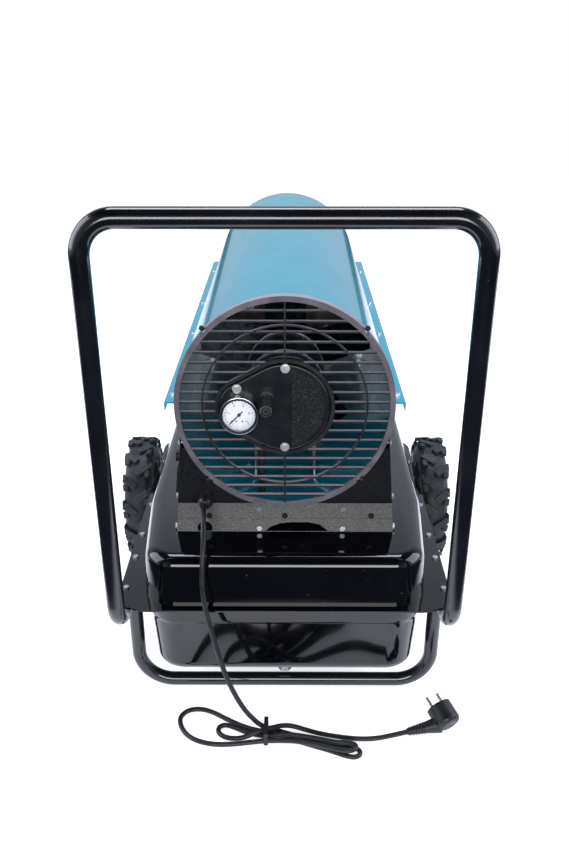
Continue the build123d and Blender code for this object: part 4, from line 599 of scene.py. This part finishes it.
TAIL_ROUTE = (
    (-4, -564.5, 13.9), (10, -561, 11), (28, -563, 6), (50, -570, REST), (76, -577, REST),
    (104, -582, REST), (132, -582, REST), (158, -576, 5), (182, -571, 8),
)
PLUG_AT = Vector((238, -555, 25.5)) * MM
PLUG_AXIS = Vector((-0.45, 0.8, 0.4)).normalized()
PLUG_BODY = 34 * MM
RIBS, RIB_START, RIB_PITCH = 6, 4 * MM, 4.4 * MM
NECK_R, NECK_GROWTH, NECK_TAPER = 4.95 * MM, 3.05 * MM, 26 * MM     # of the plug's flexible neck


class HEATER_OT_lead(bpy.types.Operator):
    """Mains lead with its gland, its tied hank and its angled plug"""
    bl_idname = "heater.lead"
    bl_label = "Mains lead"

    def execute(self, context):
        curve = bpy.data.curves.new("mains_lead", "CURVE")
        curve.dimensions = "3D"
        curve.bevel_depth = LEAD_D / 2 * MM
        curve.bevel_resolution = 5
        curve.use_fill_caps = True
        points = DROP_ROUTE + HANK_ROUTE + TAIL_ROUTE
        spline = curve.splines.new("NURBS")
        spline.points.add(len(points) - 1)
        for target, point in zip(spline.points, points):
            target.co = (*(Vector(point) * MM), 1.0)
        spline.order_u = 3
        spline.use_endpoint_u = True
        spline.resolution_u = 6
        curve.materials.append(MATERIALS["lead"])
        lead = bpy.data.objects.new("mains_lead", curve)
        context.scene.collection.objects.link(lead)
        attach(lead, "root")
        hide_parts("cord_drop", "cord_hank", "cord_tail")

        tie = dress("cord_tie", "nylon", 0.3)
        plug = self.plug()
        ribs = self.plug_ribs()
        dress("gland_body", "nylon", 0.5)
        self.gland_nut()
        return {"FINISHED"}

    def plug(self):
        """The round moulded head with its tapered neck and two plated pins."""
        bm = joined_copy("plug")
        for face in bm.faces:
            depth = (face.calc_center_median() - PLUG_AT).dot(PLUG_AXIS)
            face.material_index = 1 if depth > PLUG_BODY / 2 + 1e-5 else 0
        return add_piece(bm, "plug_finished", ["lead", "zinc"], "root", ("plug",), 35, 1.0, 3)

    def plug_ribs(self):
        """Grip ribs round the flexible neck of the plug."""
        start = Vector(TAIL_ROUTE[-1]) * MM
        along = (start - Vector(TAIL_ROUTE[-2]) * MM).normalized()
        whole = bmesh.new()
        for index in range(RIBS):
            reach = RIB_START + index * RIB_PITCH
            radius = NECK_R + NECK_GROWTH * min(reach / NECK_TAPER, 1.0)
            ring = turned([(radius - 0.6 * MM, -1.1 * MM), (radius + 1.0 * MM, -0.8 * MM),
                           (radius + 1.0 * MM, 0.8 * MM), (radius - 0.6 * MM, 1.1 * MM)], 28, along,
                          start + along * reach)
            mesh = bpy.data.meshes.new("rib")
            ring.to_mesh(mesh)
            ring.free()
            whole.from_mesh(mesh)
            bpy.data.meshes.remove(mesh)
        return add_piece(whole, "plug_neck_ribs", "lead", "root", (), 40, 0.3)

    def gland_nut(self):
        """The dome nut of the cable gland, with its grip flats and seal."""
        low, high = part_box("gland_nut")
        centre = (low + high) / 2
        radius = (high.x - low.x) / 2
        length = high.y - low.y
        bm = turned([(3.75 * MM, 0), (radius, 0), (radius, length * 0.52), (radius * 0.94, length * 0.66),
                     (radius * 0.76, length * 0.84), (radius * 0.55, length * 0.96), (3.78 * MM, length)],
                    36, (0, -1, 0), (centre.x, high.y, centre.z))
        for step in range(6):
            angle = step * pi / 3
            place = (Matrix.Translation((centre.x, high.y - length * 0.28, centre.z))
                     @ Matrix.Rotation(angle, 4, "Y") @ Matrix.Translation((radius * 0.93, 0, 0)))
            add_block(bm, (radius * 0.12, length * 0.46, radius * 0.5), place, 0.4 * MM)
        add_piece(bm, "gland_nut_finished", "nylon", "root", ("gland_nut",), 32, 0.3)


# ------------------------------------------------------------------ casing
class HEATER_OT_casing(bpy.types.Operator):
    """Round casing in two flanged halves, combustion chamber and deflector"""
    bl_idname = "heater.casing"
    bl_label = "Casing"

    def execute(self, context):
        soften = context.scene.heater_sizes.edge / MM
        dress("upper_shell", "casing", soften)
        dress("lower_shell", "casing", soften)
        dress("combustion_chamber", "heat_steel")
        dress("flame_deflector", "heat_steel", 0.3)
        return {"FINISHED"}


# ------------------------------------------------------------------ tank
class HEATER_OT_tank(bpy.types.Operator):
    """Pressed fuel tank with its flange, filler, fuel gauge and drain"""
    bl_idname = "heater.tank"
    bl_label = "Fuel tank"

    def execute(self, context):
        soften = context.scene.heater_sizes.edge / MM
        dress("tank_upper", "tank", soften, 24)
        dress("tank_lower", "tank", soften, 24)
        dress("drain_plug", "zinc", 0.6)
        dress("filler_neck", "zinc", 0.3)
        dress("filler_strainer", "zinc")
        dress("filler_cap", "nylon", 0.5)
        dress("fuel_gauge_body", "nylon", 0.4)
        dress("fuel_gauge_needle", "red", 0.15)
        dress("float_arm", "grey", 0.6)
        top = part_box("fuel_gauge_body")[1].z
        dome = [(0.02 * MM, 0), (17.9 * MM, 0), (17.9 * MM, 1.2 * MM), (12 * MM, 2.0 * MM),
                (0.02 * MM, 2.3 * MM)]
        cover = turned(dome, 40, (0, 0, 1), (LEVEL.x, LEVEL.y, top - 2.4 * MM))
        add_piece(cover, "fuel_gauge_cover", "clear", "root", (), 40)
        return {"FINISHED"}


# ------------------------------------------------------------------ frame
class HEATER_OT_frame(bpy.types.Operator):
    """Handle frame, rear stand, axle and its brackets"""
    bl_idname = "heater.frame"
    bl_label = "Tube frame"

    def execute(self, context):
        dress("handle_frame", "tube", 0.0, 40)
        dress("rear_stand", "tube", 0.0, 40)
        dress("axle", "zinc", 0.3)
        dress("axle_brackets", "tube", 0.5)
        dress("wheel_retainers", "zinc", 0.3)
        dress("front_saddle", "panel", 0.3)
        return {"FINISHED"}


# ------------------------------------------------------------------ wheels
BEAD_DEPTH = 42.5 * MM                      # from the tread down to the bead that grips the rim
LUG_ROUND = 1.2 * MM


class HEATER_OT_wheels(bpy.types.Operator):
    """Two wheels with block-tread tyres"""
    bl_idname = "heater.wheels"
    bl_label = "Wheels"

    def execute(self, context):
        sizes = context.scene.heater_sizes
        for side in ("left", "right"):
            self.tyre(side, sizes)
            dress(f"rim_{side}", "rim", 0.6)
        return {"FINISHED"}

    def tyre(self, side, sizes):
        """A rubber ring under two rows of slanted lugs that meet like arrowheads."""
        low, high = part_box(f"tyre_{side}")
        mid = (low + high) / 2
        width, outer = high.x - low.x, (high.z - low.z) / 2
        inner = outer - BEAD_DEPTH
        floor = outer - sizes.tread
        half = width / 2
        profile = [(inner, -half * 0.98), (inner + 10 * MM, -half), (floor - 14 * MM, -half * 0.97),
                   (floor - 4 * MM, -half * 0.80), (floor, -half * 0.55), (floor, half * 0.55),
                   (floor - 4 * MM, half * 0.80), (floor - 14 * MM, half * 0.97), (inner + 10 * MM, half),
                   (inner, half * 0.98)]
        bm = turned(profile, 96, (1, 0, 0), mid)
        pitch = 2 * pi / sizes.lugs
        for index in range(sizes.lugs):
            for hand in (-1, 1):
                angle = pitch * (index + (0.5 if hand > 0 else 0.0))
                spoke = Matrix.Translation(mid) @ Matrix.Rotation(angle, 4, "X")
                top = outer - sizes.tread / 2 - 0.5 * MM
                long_lug = (spoke @ Matrix.Translation((hand * width * 0.22, 0, top))
                            @ Matrix.Rotation(hand * radians(36), 4, "Z"))
                add_block(bm, (width * 0.56, 13 * MM, sizes.tread + 0.8 * MM), long_lug, LUG_ROUND)
                elbow = (spoke @ Matrix.Translation((hand * width * 0.385, -9 * MM, top - 0.8 * MM))
                         @ Matrix.Rotation(hand * radians(-8), 4, "Z"))
                add_block(bm, (width * 0.19, 13 * MM, sizes.tread), elbow, LUG_ROUND)
                shoulder = (spoke @ Matrix.Rotation(radians(-4.5), 4, "X")
                            @ Matrix.Translation((hand * width * 0.462, 0, outer - 13 * MM))
                            @ Matrix.Rotation(hand * radians(8), 4, "Y"))
                add_block(bm, (4.2 * MM, 17 * MM, 15 * MM), shoulder, LUG_ROUND)
        add_piece(bm, f"tyre_{side}_treaded", "tyre", f"wheel_{side}", (f"tyre_{side}",), 38)


# ------------------------------------------------------------------ base box
FOLD_TOP, FOLD_Y = 0.309, -0.405


class HEATER_OT_base_box(bpy.types.Operator):
    """Sheet metal base box with the controls on its left side"""
    bl_idname = "heater.base_box"
    bl_label = "Base box"

    def execute(self, context):
        for node in ("side_panel_left", "side_panel_right", "front_panel"):
            dress(node, "panel", 0.4)
        for node in ("rear_panel", "base_tray"):
            self.folded(node)
        dress("control_bezel", "bezel", 0.8, segments=3)
        dress("thermostat_knob", "nylon", 0.5)
        dress("power_switch", "red", 0.6, segments=3)
        dress("indicator_lamp", "amber", 0.3)
        dress("control_board", "board", 0.2)
        dress("ignition_unit", "grey", 1.0)
        return {"FINISHED"}

    @staticmethod
    def folded(node):
        """A sheet whose rear face, along its foot below FOLD_TOP, wears the fold finish, shaded as if pressed
        to lean back.
        """
        bm = joined_copy(node)
        bmesh.ops.bisect_plane(bm, geom=bm.verts[:] + bm.edges[:] + bm.faces[:], plane_co=(0, 0, FOLD_TOP),
                               plane_no=(0, 0, 1))
        for face in bm.faces:
            spot = face.calc_center_median()
            face.material_index = int(face.normal.y < -0.9 and spot.z < FOLD_TOP and spot.y < FOLD_Y)
        add_piece(bm, node + "_finished", ["panel", "fold"], "root", (node,), 30, 0.4)


# ------------------------------------------------------------------ fan guard
RIM_BAND, HUB_BAND = 8.4 * MM, 9 * MM        # widths of the rim and of the ring round the pump cover
CLIP_ANGLES = (45, 135, 225, 315)


class HEATER_OT_guard(bpy.types.Operator):
    """Moulded fan guard with its slats"""
    bl_idname = "heater.guard"
    bl_label = "Fan guard"

    def execute(self, context):
        points = frame["nodes"]["pump_end_cover"].data.vertices
        outline = KDTree(len(points))
        for index, point in enumerate(points):
            outline.insert((point.co.x, 0, point.co.z), index)
        outline.balance()
        bm = joined_copy("fan_guard", lambda face: self.finish_of(face, outline))
        add_piece(bm, "fan_guard_finished", ["guard", "slat", "nylon"], "root", ("fan_guard",), 30, 0.45)
        self.clip_screws()
        return {"FINISHED"}

    @staticmethod
    def finish_of(face, outline):
        """Which finish a face of the guard wears: 0 on the rim, 1 on slats and rings, 2 round the cover."""
        spot = face.calc_center_median()
        if hypot(spot.x - GUARD_MID.x, spot.z - GUARD_MID.z) > (GUARD_HIGH.x - GUARD_LOW.x) / 2 - RIM_BAND:
            return 0
        return 2 if outline.find((spot.x, 0, spot.z))[2] < HUB_BAND else 1

    @staticmethod
    def clip_screws():
        """A small black screw and a bright clip edge in each of the four notches of the rim."""
        for index, angle in enumerate(CLIP_ANGLES):
            away = Vector((cos(radians(angle)), 0, sin(radians(angle))))
            centre = Vector((GUARD_MID.x, GUARD_LOW.y + 3.4 * MM, GUARD_MID.z))
            radius = (GUARD_HIGH.x - GUARD_LOW.x) / 2
            head = turned([(0.02 * MM, 0), (3.6 * MM, 0), (3.6 * MM, 1.6 * MM), (2.6 * MM, 2.6 * MM),
                           (0.02 * MM, 2.9 * MM)], 20, (0, -1, 0), centre + away * (radius + 2.6 * MM))
            add_piece(head, f"clip_screw_{index + 1}", "nylon", "root", (), 40)
            clip = bmesh.new()
            place = (Matrix.Translation(centre + away * (radius - 2.5 * MM) - Vector((0, 3.8 * MM, 0)))
                     @ Matrix.Rotation(-radians(angle), 4, "Y"))
            add_block(clip, (2.4 * MM, 1.2 * MM, 6.0 * MM), place, 0.3 * MM)
            add_piece(clip, f"guard_clip_{index + 1}", "edge", "root", (), 40)


# ------------------------------------------------------------------ pump end
DIAL_NUMBERS = ("0", "2", "4", "6", "8", "10")
DIAL_START, DIAL_SWEEP = radians(225), radians(-270)
DIAL_TICKS, TICKS_A_NUMBER = 21, 4
TICK_SHARE, NUMBER_SHARE = 0.86, 0.60       # shares of the dial's radius
LONG_TICK, SHORT_TICK = 3.0 * MM, 1.8 * MM
NUMBER_SIZE, INK_PROUD = 5.0 * MM, 0.09 * MM
RIVET_R, RIVET_ASIDE, RIVET_DOWN = 1.2 * MM, 4.3 * MM, 9.5 * MM


class HEATER_OT_pump(bpy.types.Operator):
    """Pump end cover with filter, pressure gauge and adjusting screw"""
    bl_idname = "heater.pump"
    bl_label = "Pump end"

    def execute(self, context):
        dress("pump_end_cover", "cover", 0.8, segments=3)
        dress("inlet_filter", "foam")
        dress("cover_screws", "screw", 0.4)
        dress("adjusting_screw", "nylon", 0.4)
        dress("gauge_case", "cover", 0.3, segments=3)
        dress("gauge_dial", "dial")
        dress("gauge_needle", "ink", 0.1)
        self.gauge_printing()
        self.gauge_cover()
        self.rings()
        dress("pump_housing", "aluminium", 0.6)
        return {"FINISHED"}

    def dial_point(self, share, radius):
        """A point on the dial face, share of the sweep round it."""
        angle = DIAL_START + DIAL_SWEEP * share
        return Vector((GAUGE.x + cos(angle) * radius, DIAL_LOW.y, DIAL_Z + sin(angle) * radius)), angle

    def gauge_printing(self):
        """Ticks, plain numbers and two rivet heads on the dial."""
        bm = bmesh.new()
        for tick in range(DIAL_TICKS):
            major = tick % TICKS_A_NUMBER == 0
            length = LONG_TICK if major else SHORT_TICK
            point, angle = self.dial_point(tick / (DIAL_TICKS - 1), DIAL_R * TICK_SHARE - length / 2)
            place = Matrix.Translation(point) @ Matrix.Rotation(-angle, 4, "Y")
            add_block(bm, (length, 0.16 * MM, (0.95 if major else 0.6) * MM), place)
        for side in (-1, 1):
            place = Matrix.Translation((GAUGE.x + side * RIVET_ASIDE, DIAL_LOW.y, DIAL_Z - RIVET_DOWN))
            bmesh.ops.create_uvsphere(bm, u_segments=12, v_segments=8, radius=RIVET_R,
                                      matrix=place @ Matrix.Diagonal((1, 0.4, 1, 1)))
        for index, text in enumerate(DIAL_NUMBERS):
            point, angle = self.dial_point(index / (len(DIAL_NUMBERS) - 1), DIAL_R * NUMBER_SHARE)
            label = bpy.data.curves.new("dial_number", "FONT")
            label.body = text
            label.size = NUMBER_SIZE
            label.align_x, label.align_y = "CENTER", "CENTER"
            holder = bpy.data.objects.new("dial_number", label)
            mesh = bpy.data.meshes.new_from_object(holder)
            proud = Vector((0, -INK_PROUD, 0))
            mesh.transform(Matrix.Translation(point + proud) @ Matrix.Rotation(pi / 2, 4, "X"))
            bm.from_mesh(mesh)
            bpy.data.meshes.remove(mesh)
            bpy.data.objects.remove(holder)
            bpy.data.curves.remove(label)
        add_piece(bm, "gauge_printing", "ink")

    def gauge_cover(self):
        """The clear domed cover in the gauge's rim."""
        reach = DIAL_R - 0.1 * MM
        dome = [(0.02 * MM, 0), (reach, 0), (reach, 1.0 * MM), (reach * 0.6, 1.7 * MM), (0.02 * MM, 2.0 * MM)]
        bm = turned(dome, 48, (0, -1, 0), (GAUGE.x, CASE_LOW.y + 3.2 * MM, DIAL_Z))
        add_piece(bm, "gauge_cover", "clear", "root", (), 40)

    def rings(self):
        """The gauge's black bezel with its bright lip, and the turned end of the adjusting screw."""
        at = (GAUGE.x, CASE_LOW.y, DIAL_Z)
        bezel = turned([(DIAL_R - 0.9 * MM, -0.4 * MM), (DIAL_R - 0.7 * MM, 1.0 * MM),
                        (DIAL_R + 1.2 * MM, 1.5 * MM), (DIAL_R + 2.5 * MM, 0.9 * MM),
                        (DIAL_R + 2.7 * MM, -0.4 * MM)], 64, (0, -1, 0), at)
        add_piece(bezel, "gauge_bezel", "bezel", "root", (), 50)
        lip = turned([(DIAL_R + 2.5 * MM, -0.2 * MM), (DIAL_R + 2.5 * MM, 0.7 * MM),
                      (DIAL_R + 3.1 * MM, 0.5 * MM), (DIAL_R + 3.1 * MM, -0.2 * MM)], 64, (0, -1, 0), at)
        add_piece(lip, "gauge_bezel_lip", "edge", "root", (), 50)
        low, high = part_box("adjusting_screw")
        centre = ((low.x + high.x) / 2, low.y, (low.z + high.z) / 2)
        radius = (high.x - low.x) / 2
        for name, share in (("outer", 0.86), ("inner", 0.42)):
            ring = turned([(radius * share - 0.45 * MM, -0.2 * MM), (radius * share - 0.2 * MM, 0.35 * MM),
                           (radius * share + 0.2 * MM, 0.35 * MM), (radius * share + 0.45 * MM, -0.2 * MM)],
                          40, (0, -1, 0), centre)
            add_piece(ring, f"adjusting_screw_{name}_ring", "motor", "pressure_screw", (), 50)


# ------------------------------------------------------------------ fan, motor and burner
class HEATER_OT_fan(bpy.types.Operator):
    """Fan, motor, pump rotor, burner and their lines"""
    bl_idname = "heater.fan"
    bl_label = "Fan and burner"

    def execute(self, context):
        dress("fan", "blade", 0.3)
        dress("rotor_shaft", "zinc", 0.2)
        dress("motor", "motor", 0.6)
        dress("motor_bracket", "zinc", 0.4)
        dress("burner_head", "brass", 0.3)
        dress("igniter", "ceramic", 0.3)
        dress("air_hose", "hose")
        dress("fuel_line", "hose")
        return {"FINISHED"}


# ------------------------------------------------------------------ screws
SEAM_LOW, SEAM_HIGH = 0.282, 0.296           # the screws of the panel's seam are black


class HEATER_OT_screws(bpy.types.Operator):
    """Zinc-plated sheet metal screws"""
    bl_idname = "heater.screws"
    bl_label = "Screws"

    def execute(self, context):
        bm = joined_copy("casing_screws")
        for face in bm.faces:
            spot = face.calc_center_median()
            face.material_index = int(spot.y < FOLD_Y and SEAM_LOW < spot.z < SEAM_HIGH)
        add_piece(bm, "casing_screws_finished", ["screw", "nylon"], "root", ("casing_screws",), 30, 0.5)
        dress("flange_screws", "screw", 0.5)
        return {"FINISHED"}


class HEATER_PT_panel(bpy.types.Panel):
    """Lists the heater's pieces in the sidebar"""
    bl_idname = "HEATER_PT_panel"
    bl_label = "Forced Air Heater"
    bl_space_type = "VIEW_3D"
    bl_region_type = "UI"
    bl_category = "Heater"

    def draw(self, context):
        for group in (context.scene.heater_colours, context.scene.heater_sizes):
            for name in group.bl_rna.properties.keys():
                if name not in ("rna_type", "name"):
                    self.layout.prop(group, name)
        for operator in OPERATORS:
            self.layout.operator(operator.bl_idname)


OPERATORS = (HEATER_OT_stage, HEATER_OT_lead, HEATER_OT_casing, HEATER_OT_tank, HEATER_OT_frame,
             HEATER_OT_wheels, HEATER_OT_base_box, HEATER_OT_guard, HEATER_OT_pump, HEATER_OT_fan,
             HEATER_OT_screws)
CLASSES = (HeaterColours, HeaterSizes, *OPERATORS, HEATER_PT_panel)


def register():
    for cls in CLASSES:
        bpy.utils.register_class(cls)
    bpy.types.Scene.heater_colours = bpy.props.PointerProperty(type=HeaterColours)
    bpy.types.Scene.heater_sizes = bpy.props.PointerProperty(type=HeaterSizes)


def unregister():
    del bpy.types.Scene.heater_sizes
    del bpy.types.Scene.heater_colours
    for cls in reversed(CLASSES):
        bpy.utils.unregister_class(cls)


def main():
    """Registers the add-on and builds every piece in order."""
    register()
    make_materials(bpy.context.scene.heater_colours)
    for operator in OPERATORS:
        group, name = operator.bl_idname.split(".")
        getattr(getattr(bpy.ops, group), name)()


if __name__ == "__main__":
    main()
